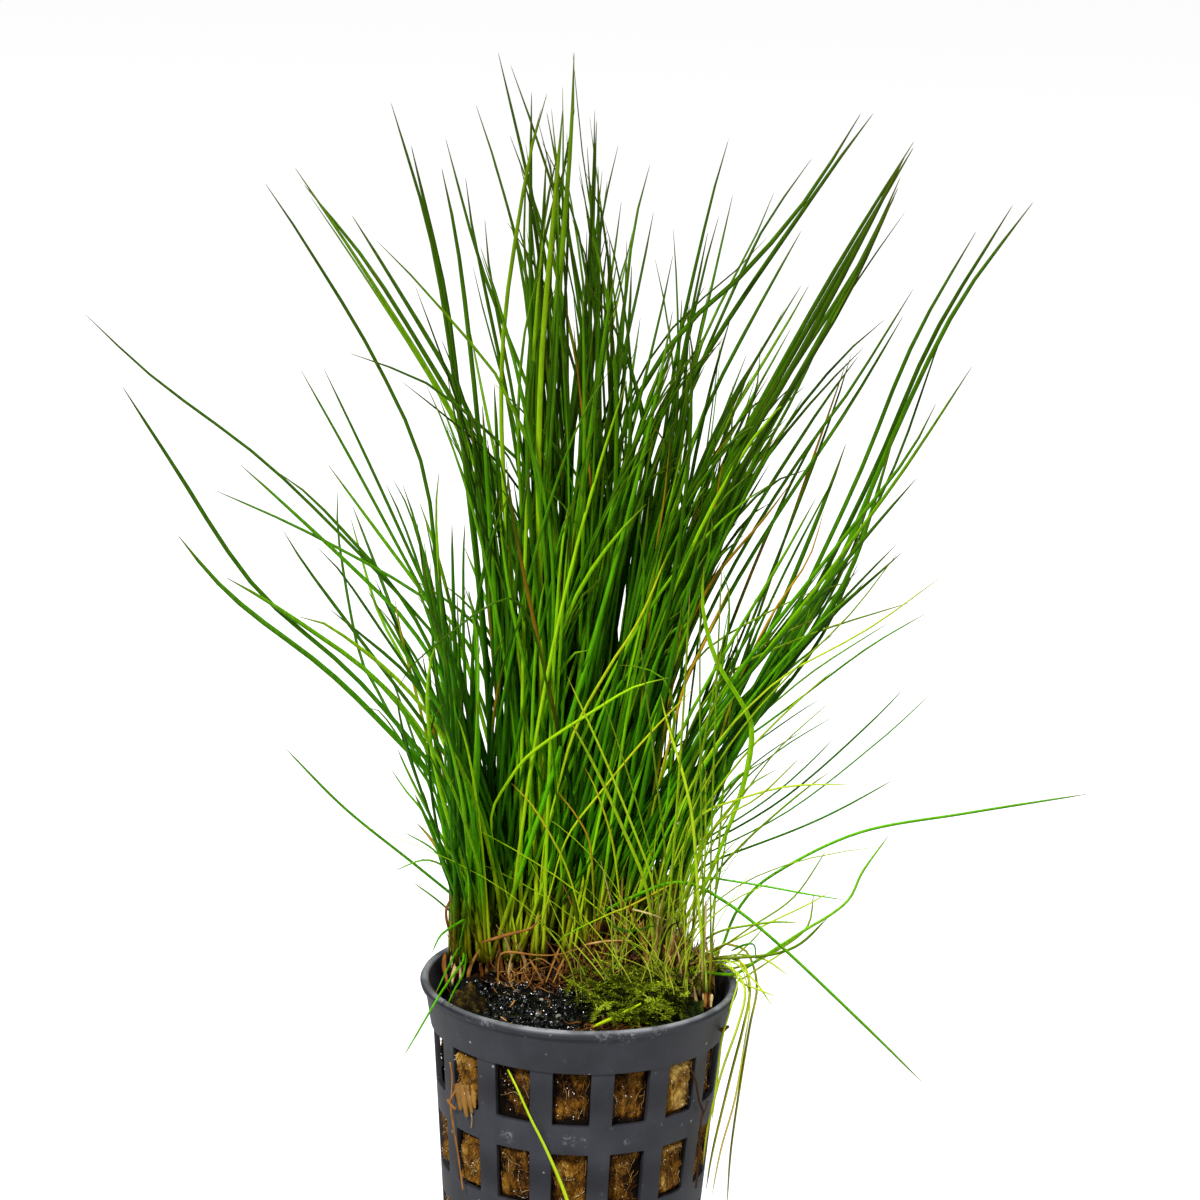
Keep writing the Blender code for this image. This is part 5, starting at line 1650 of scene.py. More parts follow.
def bed_height(name, x, y):
    """Height of a bed's solid at a place, or further in where the place lies past its edge."""
    left, right = BED_EDGES[name]
    near, far = bed_span(name, (left + right) / 2)
    for _ in range(RAY_TRIES):
        hit = BED_TREES[name].ray_cast(Vector((x, y, 2 * POT_HEIGHT)), Vector((0, 0, -1)))[0]
        if hit and hit.z > BED_FLOOR + MM:
            return hit.z
        x += ((left + right) / 2 - x) * RAY_STEP
        y += ((near + far) / 2 - y) * RAY_STEP
    return POT_HEIGHT - PLUG_TOP / 2


def ground(x, y):
    """Height of the ground at a place inside the rim."""
    for name, (left, right) in BED_EDGES.items():
        near, far = bed_span(name, x)
        if left <= x <= right and near <= y <= far:
            return bed_height(name, x, y)
    return bed_height("gravel_bed" if y < planted_edge(x) else "root_mat", x, y)


def lump_left(x, y):
    """How much of the wool lump is left at a place: it is torn away in front and behind."""
    away = math.hypot((x - LUMP_MIDDLE[0]) / LUMP_REACH[0], (y - LUMP_MIDDLE[1]) / LUMP_REACH[1])
    return eased((1 - away) / LUMP_EDGE)


def bed_piece(name, node_name, cells, swell, grain, material, dry=0.5):
    """A bed drawn from a grid: pulled to its outline, roughened and extruded down."""
    made = started(name, bpy.ops.mesh.primitive_grid_add, x_subdivisions=cells[0], y_subdivisions=cells[1],
                   size=1)
    left, right = BED_EDGES[node_name]
    lifts = []
    for vert in made.data.vertices:
        x = left + (vert.co.x + 0.5) * (right - left)
        near, far = bed_span(node_name, x)
        y = near + (vert.co.y + 0.5) * (far - near)
        lift = noise.fractal(Vector((x, y, 0)) / grain, 0.9, 2.0, 5)
        sunk = LUMP_SINK * (1 - lump_left(x, y)) if node_name == "wool_lump" else 0
        vert.co = (x, y, bed_height(node_name, x, y) + swell * lift - sunk)
        lifts.append(lift)
    keep_numbers(made.data, {"lift": lifts, "tan": np.full(len(lifts), dry)})
    bpy.ops.object.mode_set(mode="EDIT")
    bpy.ops.mesh.select_all(action="SELECT")
    bpy.ops.mesh.extrude_region_move()
    skirt = bmesh.from_edit_mesh(made.data)
    for vert in skirt.verts:
        if vert.select:
            vert.co.z = BED_FLOOR
    bmesh.update_edit_mesh(made.data)
    bpy.ops.mesh.select_all(action="SELECT")
    bpy.ops.mesh.normals_make_consistent(inside=False)
    bpy.ops.object.mode_set(mode="OBJECT")
    made.data.shade_smooth()
    painted(made, material)
    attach(made, "root")
    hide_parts(node_name)


ROOT_FELT = felt_finish("matted roots and soil", (0.0, "050302"), (0.4, "140C05"), (0.65, "2C1C0A"),
                        (0.85, "503412"), (1.0, "7C5828"))
GRAVEL_SOIL = felt_finish("black soil between the granules", (0.0, "020202"), (0.6, "070706"),
                          (0.85, "0E0D0A"), (1.0, "1E170C"))
MOSS_SOIL = felt_finish("moss floor", (0.0, "050702"), (0.45, "141E04"), (0.7, "2E3C08"), (0.9, "4A4A12"),
                        (1.0, "604418"))
bed_piece("root_mat_ground", "root_mat", (120, 56), 0.5 * MM, 2.4 * MM, ROOT_FELT)
bed_piece("gravel_ground", "gravel_bed", (60, 80), 0.25 * MM, 1.5 * MM, GRAVEL_SOIL)
bed_piece("moss_ground", "moss_patch", (60, 60), 0.4 * MM, 2.2 * MM, MOSS_SOIL)
LUMP_WOOL = felt_finish("wet wool with a film of algae", (0.0, "0A0703"), (0.4, "2C220C"), (0.65, "54441A"),
                        (0.85, "806A2C"), (1.0, "AC9650"))
bed_piece("wool_lump_torn", "wool_lump", (70, 90), 0.9 * MM, 1.6 * MM, LUMP_WOOL, dry=0.2)
print("beds:", len(BED_TREES))

# %% [markdown]
# ## The gravel
# The granules are crushed black glass or basalt, about a millimetre across, wet and glossy, so each shows
# a hard white glint on one of its facets. Two sizes of ball with few triangles are copied, each with its
# corners moved a little, left flat shaded, and dropped on the bed with some lying on others.

# %% Gravel
GRANULES = {"coarse_granules": (PEBBLE, 560, (0.36 * MM, 0.62 * MM), 0.35 * MM),
            "fine_granules": (BEAD, 1500, (0.16 * MM, 0.34 * MM), 0.45 * MM)}
GRAVEL_SIDES = (-21.6 * MM, 4.6 * MM)
GRAVEL_BACK = 5.5 * MM


def granule_finish():
    """Wet black stone, a few bodies of it grey or straw-coloured, with fine pits."""
    made, tree, shader = finish("wet black basalt granules", roughness=0.2, specular=0.6)
    tone = node(tree, "Attribute", attribute_name="tone").outputs["Fac"]
    colour = node(tree, "ValToRGB", {"Fac": tone}, stops=((0.0, "020203"), (0.7, "090A0C"), (0.93, "15171B"),
                                                          (0.985, "454543"), (1.0, "A09A88")))
    tree.links.new(colour.outputs["Color"], shader.inputs["Base Color"])
    place = node(tree, "TexCoord").outputs["Object"]
    pits = node(tree, "TexNoise", {"Vector": place, "Scale": 1 / (0.25 * MM), "Detail": 3.0})
    bump = node(tree, "Bump", {"Height": pits, "Strength": 0.5, "Distance": 0.08 * MM})
    tree.links.new(bump.outputs["Normal"], shader.inputs["Normal"])
    return made


GRANITE = granule_finish()


def dropped(name, form, count, sizes, pile):
    """Granules over the left half of the ground, up to the rim, but hardly any on the torn lump of wool."""
    draw = np.random.default_rng(31 + count)
    places = []
    while len(places) < count:
        x, y = draw.uniform(*GRAVEL_SIDES), draw.uniform(-BED_RADIUS, GRAVEL_BACK)
        if math.hypot(x, y) > BED_RADIUS - 0.3 * MM or draw.uniform() < 0.95 * lump_left(x, y):
            continue
        if x > 2 * MM and draw.uniform() < 0.5:
            continue
        sunk = LUMP_SINK if x < BED_EDGES["wool_lump"][1] else 0
        places.append((x, y, ground(x, y) - 0.6 * sunk + draw.uniform(-0.1 * MM, pile)))
    radii = draw.uniform(*sizes, (count, 1)) * draw.uniform(0.75, 1.25, (count, 3))
    made = scattered(name, form, places, radii, draw, 0.16, draw.uniform(0, 1, count), GRANITE)
    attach(made, "root")
    return len(made.data.polygons)


print("faces in the gravel:", sum(dropped(name, *how) for name, how in GRANULES.items()))

# %% [markdown]
# ## The moss
# A little cushion of aquarium moss grows at the front right. One frond is a thin stem with side stems, and
# both carry two rows of tiny pointed leaves that lie along them. The leaf is one closed body of six
# triangles; thousands of them are placed by arrays, each turned along its stem and shrinking to its tip.

# %% Fronds and leaves
LEAF_POINTS = np.array([(0, 0, 0), (0.42, 0.5, 0), (0.42, -0.5, 0), (0.42, 0, 0.35), (1, 0, 0)])
LEAF_FACES = np.array([(0, 2, 1), (0, 1, 3), (0, 3, 2), (4, 1, 2), (4, 3, 1), (4, 2, 3)])
LEAF_LENGTH = (0.8 * MM, 1.4 * MM)
LEAF_WIDTH = 0.3
LEAF_STEP = 0.34 * MM
LEAF_SPLAY = math.radians(48)
FROND_LENGTH = (5.0 * MM, 11.0 * MM)
FROND_RADIUS = 0.1 * MM
SIDE_LENGTH = (1.8 * MM, 3.6 * MM)
SIDE_STEMS = 5


def unit(vector):
    """A direction, brought to length 1."""
    return vector / np.linalg.norm(vector)


def stem_line(start, heading, length, droop, sway, points):
    """A thin stem that sets out one way, sinks under its weight and sways."""
    line = [start]
    for _ in range(points - 1):
        heading = unit(heading + np.array([0, 0, -droop / points]) + sway / points)
        line.append(line[-1] + heading * length / (points - 1))
    return np.array(line)


class Moss:
    """Gathers stems and leaves, and makes both one mesh."""

    def __init__(self):
        self.stems = Strands(3)
        self.leaves = []

    def stem(self, line, radius, tone, size, draw):
        """One stem with its two rows of leaves."""
        self.stems.add(line, radius * np.linspace(1, 0.4, len(line)), tone, flat=1.0)
        length = np.linalg.norm(np.diff(line, axis=0), axis=1).sum()
        count = max(4, int(length / LEAF_STEP))
        places = resampled(line, np.linspace(0.06, 1, count))
        ahead = units(np.gradient(places, axis=0))
        level = units(np.cross(ahead, draw.normal(size=3) * 0.35 + np.array([0, 0, 1.0])))
        above = np.cross(level, ahead)
        taper = np.interp(np.linspace(0, 1, count), (0, 0.25, 1), (0.7, 1.0, 0.45))
        for side in (-1, 1):
            splay = LEAF_SPLAY + draw.normal(0, 0.16, count)
            along = ahead * np.cos(splay)[:, None] + side * level * np.sin(splay)[:, None]
            along = units(along + above * draw.normal(0.12, 0.2, count)[:, None])
            across = units(np.cross(above, along))
            long = draw.uniform(*LEAF_LENGTH, count) * taper * size
            tones = np.clip(tone + draw.normal(0.05, 0.1, count), 0, 1)
            self.leaves.append((places, along, across, np.cross(along, across), long, tones))

    def frond(self, start, heading, length, tone, draw):
        """A stem with side stems, both in leaf."""
        main = stem_line(start, heading, length, draw.uniform(0.3, 1.4), draw.normal(0, 0.5, 3), 12)
        self.stem(main, FROND_RADIUS, tone, 1.0, draw)
        level = unit(np.cross(heading, (0, 0, 1.0)))
        for number in range(SIDE_STEMS):
            place = int(2 + number * 9 / SIDE_STEMS)
            ahead = unit(main[place + 1] - main[place])
            side = level * (-1) ** number
            onward = unit(ahead * 0.8 + side * 0.9 + draw.normal(0, 0.2, 3))
            reach = draw.uniform(*SIDE_LENGTH) * (1 - 0.07 * place)
            line = stem_line(main[place], onward, reach, 0.5, draw.normal(0, 0.3, 3), 6)
            self.stem(line, FROND_RADIUS * 0.7, min(1, tone + 0.1), 0.85, draw)

    def made(self, name, material):
        """All the stems and leaves as one object."""
        places, along, across, above, long, tones = (np.concatenate(part) for part in zip(*self.leaves))
        form = LEAF_POINTS[None] * (long[:, None, None] * np.array([1, LEAF_WIDTH, LEAF_WIDTH]))
        axes = np.stack([along, across, above], axis=1)
        bodies = np.einsum("npi,nij->npj", form, axes) + places[:, None]
        shifted = LEAF_FACES[None] + (np.arange(len(places)) * len(LEAF_POINTS))[:, None, None]
        stem_points = np.vstack(self.stems.points)
        faces = self.stems.faces + (shifted.reshape(-1, 3) + len(stem_points)).tolist()
        values = {"tone": np.concatenate([*self.stems.values["tone"], np.repeat(tones, len(LEAF_POINTS))])}
        return joined_piece(name, np.vstack([stem_points, bodies.reshape(-1, 3)]), faces, material, values)


# %% The moss cushion
# Moss leaves are one cell thick, so light passes. Fronds that start high over the ground are yellow-green
# and those low down deep green, which is painted shade in the cushion.
MOSS_GREEN = thread_finish("living moss", (0.0, "080600"), (0.3, "2A2E04"), (0.55, "5C6C08"), (0.8, "98AA16"),
                           (1.0, "D8E84A"), roughness=0.5, specular=0.1)
FRONDS = 195
FROND_AREA = ((2.2 * MM, 21.0 * MM), (-21.0 * MM, 8.0 * MM))
FROND_REACH = 22.3 * MM
moss_draw = np.random.default_rng(41)
moss = Moss()
fronds_made = 0
while fronds_made < FRONDS:
    x, y = moss_draw.uniform(*FROND_AREA[0]), moss_draw.uniform(*FROND_AREA[1])
    near, far = -wall_arc(x) + 0.6 * MM, planted_edge(x) + 10 * MM
    thin_out = (x < 7 * MM or y > planted_edge(x) + 3 * MM) and moss_draw.uniform() < 0.55
    if not near < y < far or thin_out:
        continue
    facing = moss_draw.normal(-math.pi / 2, 1.3)
    tilt = moss_draw.uniform(0.15, 1.0)
    heading = unit(np.array([math.cos(facing), math.sin(facing), tilt]))
    level, long = moss_draw.uniform(-0.3 * MM, 2.0 * MM), moss_draw.uniform(*FROND_LENGTH)
    start = np.array([x, y, ground(x, y) + level])
    if np.hypot(*(start + 0.9 * long * heading)[:2]) > FROND_REACH:
        continue
    # A frond's tone grows with how high it starts over the ground: painted shade low in the cushion.
    moss.frond(start, heading, long, 0.12 + 0.34 * level / MM * moss_draw.uniform(0.5, 1.25), moss_draw)
    fronds_made += 1
moss_piece = moss.made("moss_fronds", MOSS_GREEN)
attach(moss_piece, "root")
print("fronds:", FRONDS, "faces in the moss:", len(moss_piece.data.polygons))

# %% [markdown]
# ## Dead sheaths, roots and litter
# Between the culms stand the dead sheaths of older ones, rust brown to straw, and over the ground lies a
# tangle of dry roots and broken blades. They are what makes the foot of the plant look brown. All are
# tubes like the culms: sheaths stand up from a crown and lean out, litter wanders over the ground.

# %% Sheaths at the crowns
LITTER = thread_finish("dry sheaths and roots", (0.0, "170B04"), (0.3, "47280C"), (0.5, "84501A"),
                       (0.72, "BC8840"), (0.95, "DDC88C"), specular=0.2)
SHEATHS = 9
SHEATH_RINGS = 8
SHEATH_HEIGHT = (4 * MM, 12 * MM)
HEAP_HEIGHT = (8 * MM, 20 * MM)
HEAP_CROWNS = ("a5", "a6", "a7", "b5", "b6", "b7", "b8", "f1")
SHEATH_RADIUS = (0.2 * MM, 0.42 * MM)
SHEATH_TAPER = (1.0, 1.05, 1.0, 0.9, 0.75, 0.6, 0.42, 0.2)


def standing_sheath(strands, spot, heights, draw):
    """A dead sheath that stands at a crown and leans out."""
    angle, away = draw.uniform(0, math.tau), draw.uniform(0.5, 2.3) * MM
    x, y = held_in(spot[0] + away * math.cos(angle), spot[1] + away * math.sin(angle))
    tall = draw.uniform(*heights)
    lean = draw.uniform(0.05, 0.5)
    out = way(angle) * lean * tall
    if math.hypot(x + out[0], y + out[1]) > BED_RADIUS - 2 * MM:
        out = -0.6 * out
    curl = draw.normal(0, 0.12, 3) * tall
    foot = np.array([x, y, ground(x, y) - 0.4 * MM])
    share = np.linspace(0, 1, SHEATH_RINGS)[:, None]
    line = foot + share * np.array([0, 0, tall]) + share ** 1.7 * out + share ** 3 * curl
    radii = draw.uniform(*SHEATH_RADIUS) * np.array(SHEATH_TAPER)
    tone, flat, turn = draw.uniform(0.15, 0.9), draw.uniform(0.3, 0.8), draw.uniform(0, math.tau)
    strands.add(line, radii, tone, flat=flat, turn=turn)


sheath_draw = np.random.default_rng(51)
sheaths = Strands(5)
for spot_name, spot in SPOTS.items():
    for _ in range(SHEATHS):
        standing_sheath(sheaths, spot, SHEATH_HEIGHT, sheath_draw)
    if spot_name in HEAP_CROWNS:
        for _ in range(2 * SHEATHS):
            standing_sheath(sheaths, spot, HEAP_HEIGHT, sheath_draw)
sheath_piece = sheaths.made("dead_sheaths", LITTER)
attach(sheath_piece, "root")
print("faces in the sheaths:", len(sheath_piece.data.polygons))

# %% Litter on the ground
LITTER_RINGS = 14
LITTER_RADIUS = (0.08 * MM, 0.2 * MM)
# Areas that the litter lies in: count, the area's left, right, front and back, length, height above the
# ground, how much it curls and its tones.
LITTER_AREAS = {
    "mat_litter": (260, (-20, 20, 6, 20), (5, 16), (0.1, 3.0), 3.0, (0.05, 0.6)),
    "heap_litter": (210, (-2, 14, 1, 9), (6, 16), (0.3, 9.0), 4.5, (0.1, 0.75)),
    "curl_clump": (46, (-12.5, -6.5, 1.5, 5), (4, 8), (0.0, 4.0), 8.0, (0.3, 0.8)),
    "front_felt": (110, (0, 9.5, -22, -14), (3, 8), (0.0, 0.8), 5.0, (0.05, 0.6)),
    "gravel_strays": (12, (-14, 4, -20, 2), (2, 6), (0.3, 0.8), 3.0, (0.2, 0.8)),
}


def lying_litter(strands, area, lengths, heights, curl, tones, draw):
    """A dry root or a broken blade that wanders over the ground."""
    left, right, front, back = (side * MM for side in area)
    x, y = draw.uniform(left, right), draw.uniform(front, back)
    heading, bend = draw.uniform(0, math.tau), draw.normal(0, curl)
    step = draw.uniform(*lengths) * MM / LITTER_RINGS
    lift, sway = draw.uniform(*heights) * MM, draw.uniform(0, math.tau)
    line = []
    for ring in range(LITTER_RINGS):
        x, y = held_in(x, y)
        wave = lift * (0.55 + 0.45 * math.sin(sway + 4 * ring / LITTER_RINGS))
        line.append((x, y, ground(x, y) + 0.1 * MM + wave))
        x += math.cos(heading) * step
        y += math.sin(heading) * step * 0.8
        heading += bend / LITTER_RINGS + draw.normal(0, 0.12)
    radii = draw.uniform(*LITTER_RADIUS) * np.linspace(1.0, 0.45, LITTER_RINGS)
    strands.add(np.array(line), radii, draw.uniform(*tones), flat=0.7)


litter_draw = np.random.default_rng(52)
litter = Strands(4)
for count, *how in LITTER_AREAS.values():
    for _ in range(count):
        lying_litter(litter, *how, litter_draw)
litter_piece = litter.made("root_litter", LITTER)
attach(litter_piece, "root")
print("faces in the litter:", len(litter_piece.data.polygons))

# %% [markdown]
# ## Single strands
# Some blades catch the eye in the picture: a bright one that lies across the plant, golden and rusty ones,
# tips that hook over, and dry stems that arch over the gravel. They are placed one by one, as a grower would
# describe them: the crown each comes from, if any, its thickness and tone, and the pixels it passes.

# %% Single strands
# Crown, radius in millimetres, flatness, tone, how dead, then each point's pixel and depth, tip first.
STRANDS = {
    "green": (LIVING, "culm", (
        ("left_front", 0.25, 0.8, 0.6, 0, ((394, 871, -6), (423, 860, -5), (444, 866, -3), (461, 880, 1))),
        ("left_front", 0.22, 0.8, 0.5, 0, ((414, 883, -6), (436, 899, -3), (457, 917, 2))),
        ("a1", 0.22, 0.8, 0.4, 0, ((404, 832, -8), (436, 852, -4), (462, 890, 0))),
        ("a1", 0.24, 0.8, 0.5, 0, ((391, 769, -12), (406, 791, -10), (425, 815, -8), (455, 870, -2))),
        ("a1", 0.24, 0.8, 0.3, 0, ((366, 707, -16), (383, 715, -15), (420, 770, -9))),
        ("b1", 0.28, 0.8, 0.5, 0.55, ((395, 600, -18), (403, 642, -16), (428, 740, -10))),
        ("a4", 0.26, 0.8, 0.2, 0, ((397, 690, -34), (412, 665, -34), (461, 625, -34), (493, 603, -32),
            (522, 606, -24), (546, 680, -12), (556, 790, -4))),
        ("left_front", 0.25, 0.8, 0.4, 0, ((432, 953, -17), (441, 935, -15), (460, 922, -8))),
        ("left_front", 0.18, 0.7, 0.3, 0, ((436, 993, -17), (444, 976, -14), (452, 960, -9))),
        ("left_front", 0.18, 0.7, 0.3, 0, ((447, 1006, -18), (454, 991, -15), (462, 977, -9))),
        ("a2", 0.3, 0.7, 0.8, 0, ((668, 678, -44), (632, 688, -43), (594, 711, -39), (556, 735, -33),
            (524, 760, -24), (500, 794, -14))),
        ("b6", 0.22, 0.8, 0.5, 0, ((617, 665, -40), (640, 667, -40), (657, 674, -38), (668, 686, -34),
            (674, 720, -24), (668, 800, -10))),
        ("a3", 0.2, 0.7, 1.0, 0.6, ((692, 690, -40), (645, 739, -38), (605, 787, -31), (567, 838, -20),
            (548, 900, -6))),
        ("a5", 0.19, 0.8, 1.0, 0.75, ((512, 784, -32), (531, 804, -30), (552, 838, -25), (568, 872, -15),
            (582, 920, -5))),
        ("a6", 0.18, 0.8, 1.0, 0.7, ((585, 768, -34), (596, 790, -32), (612, 840, -22), (620, 900, -8))),
        ("a5", 0.19, 0.8, 0.4, 0.8, ((557, 791, -30), (577, 817, -28), (590, 845, -22), (594, 900, -8))),
        ("a3", 0.26, 0.7, 0.9, 0.4, ((668, 552, -34), (647, 604, -36), (630, 636, -36), (613, 661, -34),
            (575, 730, -20), (552, 810, -8))),
        ("b7", 0.28, 0.6, 0.5, 0.9, ((731, 585, -20), (702, 648, -20), (685, 684, -18), (665, 760, -8))),
        ("b7", 0.3, 0.6, 0.1, 0.7, ((790, 484, -16), (763, 520, -18), (735, 552, -18), (710, 585, -16),
            (680, 650, -10), (660, 760, -4))),
        ("b8", 0.22, 0.7, 0.5, 0.9, ((824, 510, -10), (808, 560, -12), (770, 618, -12), (732, 700, -8),
            (704, 800, -2))),
        ("b5", 0.22, 0.7, 0.2, 0.9, ((567, 310, -12), (576, 360, -14), (583, 420, -14), (592, 500, -8),
            (592, 600, 2))),
        ("b6", 0.22, 0.7, 0.3, 0.6, ((670, 440, -12), (664, 500, -14), (655, 560, -16), (642, 700, -10))),
        ("c8", 0.22, 0.8, 0.4, 0, ((845, 900, -4), (807, 894, -3), (764, 886, -1), (713, 878, 4))),
        ("a8", 0.2, 0.8, 0.5, 0, ((766, 760, -14), (728, 786, -9), (700, 850, -4))),
        ("a8", 0.18, 0.8, 0.6, 0, ((728, 830, -6), (721, 868, -3), (713, 906, 0))),
        ("a8", 0.52, 0.25, 0.7, 0, ((704, 568, -44), (703, 610, -44), (716, 660, -42), (738, 697, -38),
            (752, 730, -30), (742, 790, -18), (712, 870, -6))),
        ("b8", 0.45, 0.35, 0.2, 0, ((893, 440, -26), (855, 560, -26), (815, 630, -24), (770, 690, -18),
            (722, 780, -8))),
        ("a5", 0.55, 0.4, 0.1, 0, ((905, 156, -26), (850, 262, -28), (790, 372, -28), (742, 452, -24),
            (690, 560, -18), (640, 720, -10))),
        ("a5", 0.5, 0.5, 0.12, 0, ((912, 150, -22), (848, 258, -22), (786, 366, -22), (735, 455, -20),
            (684, 560, -14), (636, 720, -6))),
        ("a5", 0.45, 0.5, 0.05, 0, ((897, 190, -26), (845, 300, -27), (784, 400, -27), (730, 490, -22),
            (672, 640, -14))),
        ("a5", 0.5, 0.4, 0.2, 0, ((893, 200, -24), (838, 306, -27), (778, 412, -26), (728, 500, -20),
            (676, 640, -12))),
        (None, 0.2, 0.8, 0.5, 0.75, ((676, 882, -2), (628, 907, -3), (612, 913, -3), (572, 932, -1),
            (556, 944, 2))),
        (None, 0.22, 0.8, 0.1, 0, ((606, 919, -3), (617, 928, -4), (632, 931, -4), (657, 925, -3))),
        (None, 0.24, 0.8, 0.3, 0, ((731, 951, -2), (744, 945, -3), (754, 945, -3), (756, 959, -3))),
        (None, 0.36, 0.5, 1.0, 0.3, ((592.7, 1027, -21.4), (615, 1017, -18.8), (641, 1003.6, -16.2))),
    )),
    "trailing": (PALE, "pale_culm", (
        ("right_wall", 0.22, 0.8, 0.4, 0.95, ((712, 1195, -8), (721, 1149, -8), (735, 1099, -8),
            (745, 1040, -7), (750, 1000, -5), (742, 966, -3))),
        ("right_wall", 0.24, 0.8, 0.6, 0.2, ((712, 1120, -10), (718, 1071, -10), (722, 1038, -10),
            (733, 1000, -9), (738, 978, -7), (728, 962, -3))),
        ("right_wall", 0.2, 0.8, 0.8, 0.3, ((775, 996, -8), (757, 989, -6), (741, 982, -4), (728, 966, 0))),
        ("right_wall", 0.2, 0.8, 0.9, 0.2, ((788, 975, -4), (766, 960, -3), (745, 955, -1))),
        ("right_back", 0.2, 0.8, 0.9, 0.1, ((790, 948, 0), (768, 962, 0), (744, 978, 1))),
        ("right_rim", 0.18, 0.8, 0.9, 0.4, ((772, 1006, -6), (758, 985, -5), (742, 968, -3))),
    )),
    "dry": (LITTER, "root_mat", (
        (None, 0.32, 0.8, 0.55, 0, ((480, 943, -1), (510, 934, -2), (529, 929, -3), (537, 922, -3),
            (539, 915, -3))),
        (None, 0.22, 0.8, 0.58, 0, ((498, 987, -1), (499, 959, -1), (508, 952, -2), (535, 955, -2),
            (558, 954.6, -2), (581, 948, -1))),
        (None, 0.22, 0.8, 0.65, 0, ((560, 946.6, -1), (553, 964, -1), (545.7, 983, -1))),
        (None, 0.22, 0.8, 0.62, 0, ((564.6, 957, -1), (559, 970, -1), (553, 983, -1))),
        (None, 0.22, 0.8, 0.62, 0, ((529, 958, -1), (536, 970, -1), (543.4, 983, -1))),
        (None, 0.2, 0.8, 0.9, 0, ((631.5, 909, -3), (650, 914, -3), (666.6, 920, -2))),
        (None, 0.22, 0.8, 0.75, 0, ((583, 945, -1), (608, 941, -2), (632.7, 940.6, -2))),
        (None, 0.26, 0.8, 0.45, 0, ((452, 896, -4), (446, 912, -4), (450, 933, -2), (458, 950, 0))),
        (None, 0.42, 0.5, 0.95, 0, ((706, 900, -5), (703, 960, -5), (704, 1008, -5))),
        (None, 0.3, 0.5, 0.95, 0, ((712, 994, -8), (711.5, 1000, -8), (711, 1007, -8))),
        (None, 0.6, 0.4, 0.5, 0, ((445, 953, 6), (444, 966, 4), (447, 982, 1))),
        (None, 0.5, 0.3, 0.4, 0, ((720, 1031, -9), (724, 1029, -9), (729, 1026, -9))),
    )),
}
STRAND_RINGS = 26
# How far from the middle of the plant the strands of a tuft are kept, as a share of the depths above.
STRAND_DEPTH = 0.3
STRAND_PLACES, STRAND_SHARES = (0.0, 0.35, 0.6), (0.5, 0.65, 1.0)


def placed_strand(strands, crown, radius, flat, tone, dead, points, draw):
    """A strand through its points, down to its crown where it has one."""
    if crown in TUFTS:
        points = [(across, down, STRAND_DEPTH * depth) for across, down, depth in points]
    if crown:
        base = crown_top(SPOTS[crown]) + CROWN_RADIUS * np.array([*draw.uniform(-0.6, 0.6, 2), 0])
        line = placed_line(base, points)
    else:
        line = smooth_line(places_of(points))
    places = np.linspace(0, 1, STRAND_RINGS)
    browning = dead * np.interp(places, (0.3, 0.75), (0.15, 1.0))
    radii = tapered(radius * MM, STRAND_RINGS) * np.interp(places, STRAND_PLACES, STRAND_SHARES)
    strands.add(resampled(line, places), radii, tone, browning, flat, start=LONE_START * (crown not in TUFTS))


strand_draw = np.random.default_rng(73)
for strand_name, (material, slot, placed) in STRANDS.items():
    strands = Strands(CULM_SIDES)
    for strand in placed:
        placed_strand(strands, *strand, strand_draw)
    strand_piece = strands.made(f"single_strands_{strand_name}", material)
    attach(strand_piece, "root")
print("single strands:", sum(len(placed) for *_, placed in STRANDS.values()))

# %% [markdown]
# ## Young shoots
# On the right a mat of hair-thin young shoots stands over the moss. They are pale, cross each other at all
# angles and reach 7 to 36 mm. A stiff culm goes straight up and bends at its tip, so each shoot is a curve
# that starts steep and leans more and more.

# %% Shoots
SHOOTS = 105
SHOOT_RINGS = 12
SHOOT_RADIUS = (0.07 * MM, 0.14 * MM)
SHOOT_HEIGHT = (12 * MM, 36 * MM)
SHOOT_AREA = ((-1 * MM, 18.5 * MM), (-13 * MM, 12 * MM))
shoot_draw = np.random.default_rng(61)
shoots = Strands(5)
while len(shoots.points) < SHOOTS:
    x, y = shoot_draw.uniform(*SHOOT_AREA[0]), shoot_draw.uniform(*SHOOT_AREA[1])
    if math.hypot(x, y) > BED_RADIUS - MM or y < planted_edge(x) - 8 * MM:
        continue
    tall = shoot_draw.uniform(*SHOOT_HEIGHT) * (0.55 if y < planted_edge(x) - 2 * MM else 1.0)
    share = np.linspace(0, 1, SHOOT_RINGS)[:, None]
    lean = np.array([shoot_draw.normal(-0.05, 0.36), shoot_draw.normal(-0.05, 0.3), 0]) * tall
    curl = np.array([shoot_draw.normal(0, 0.22), shoot_draw.normal(0, 0.15), -0.1]) * tall
    foot = np.array([x, y, ground(x, y) - 0.3 * MM])
    line = foot + share * np.array([0, 0, tall]) + share ** 1.4 * lean + share ** 3 * curl
    shoots.add(line, tapered(shoot_draw.uniform(*SHOOT_RADIUS), SHOOT_RINGS), shoot_draw.uniform(0, 1),
               dead=0.8 * (shoot_draw.uniform() < 0.06))
shoot_piece = shoots.made("young_shoots", PALE)
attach(shoot_piece, "root")
print("shoots:", SHOOTS)

# %% [markdown]
# ## On the wall
# A lime-green blade leaves a window in front and gets thicker as it falls, and a brown root hangs at each
# side. They lie on the pot, so each pixel of their routes is followed to the wall and lifted off it a little.

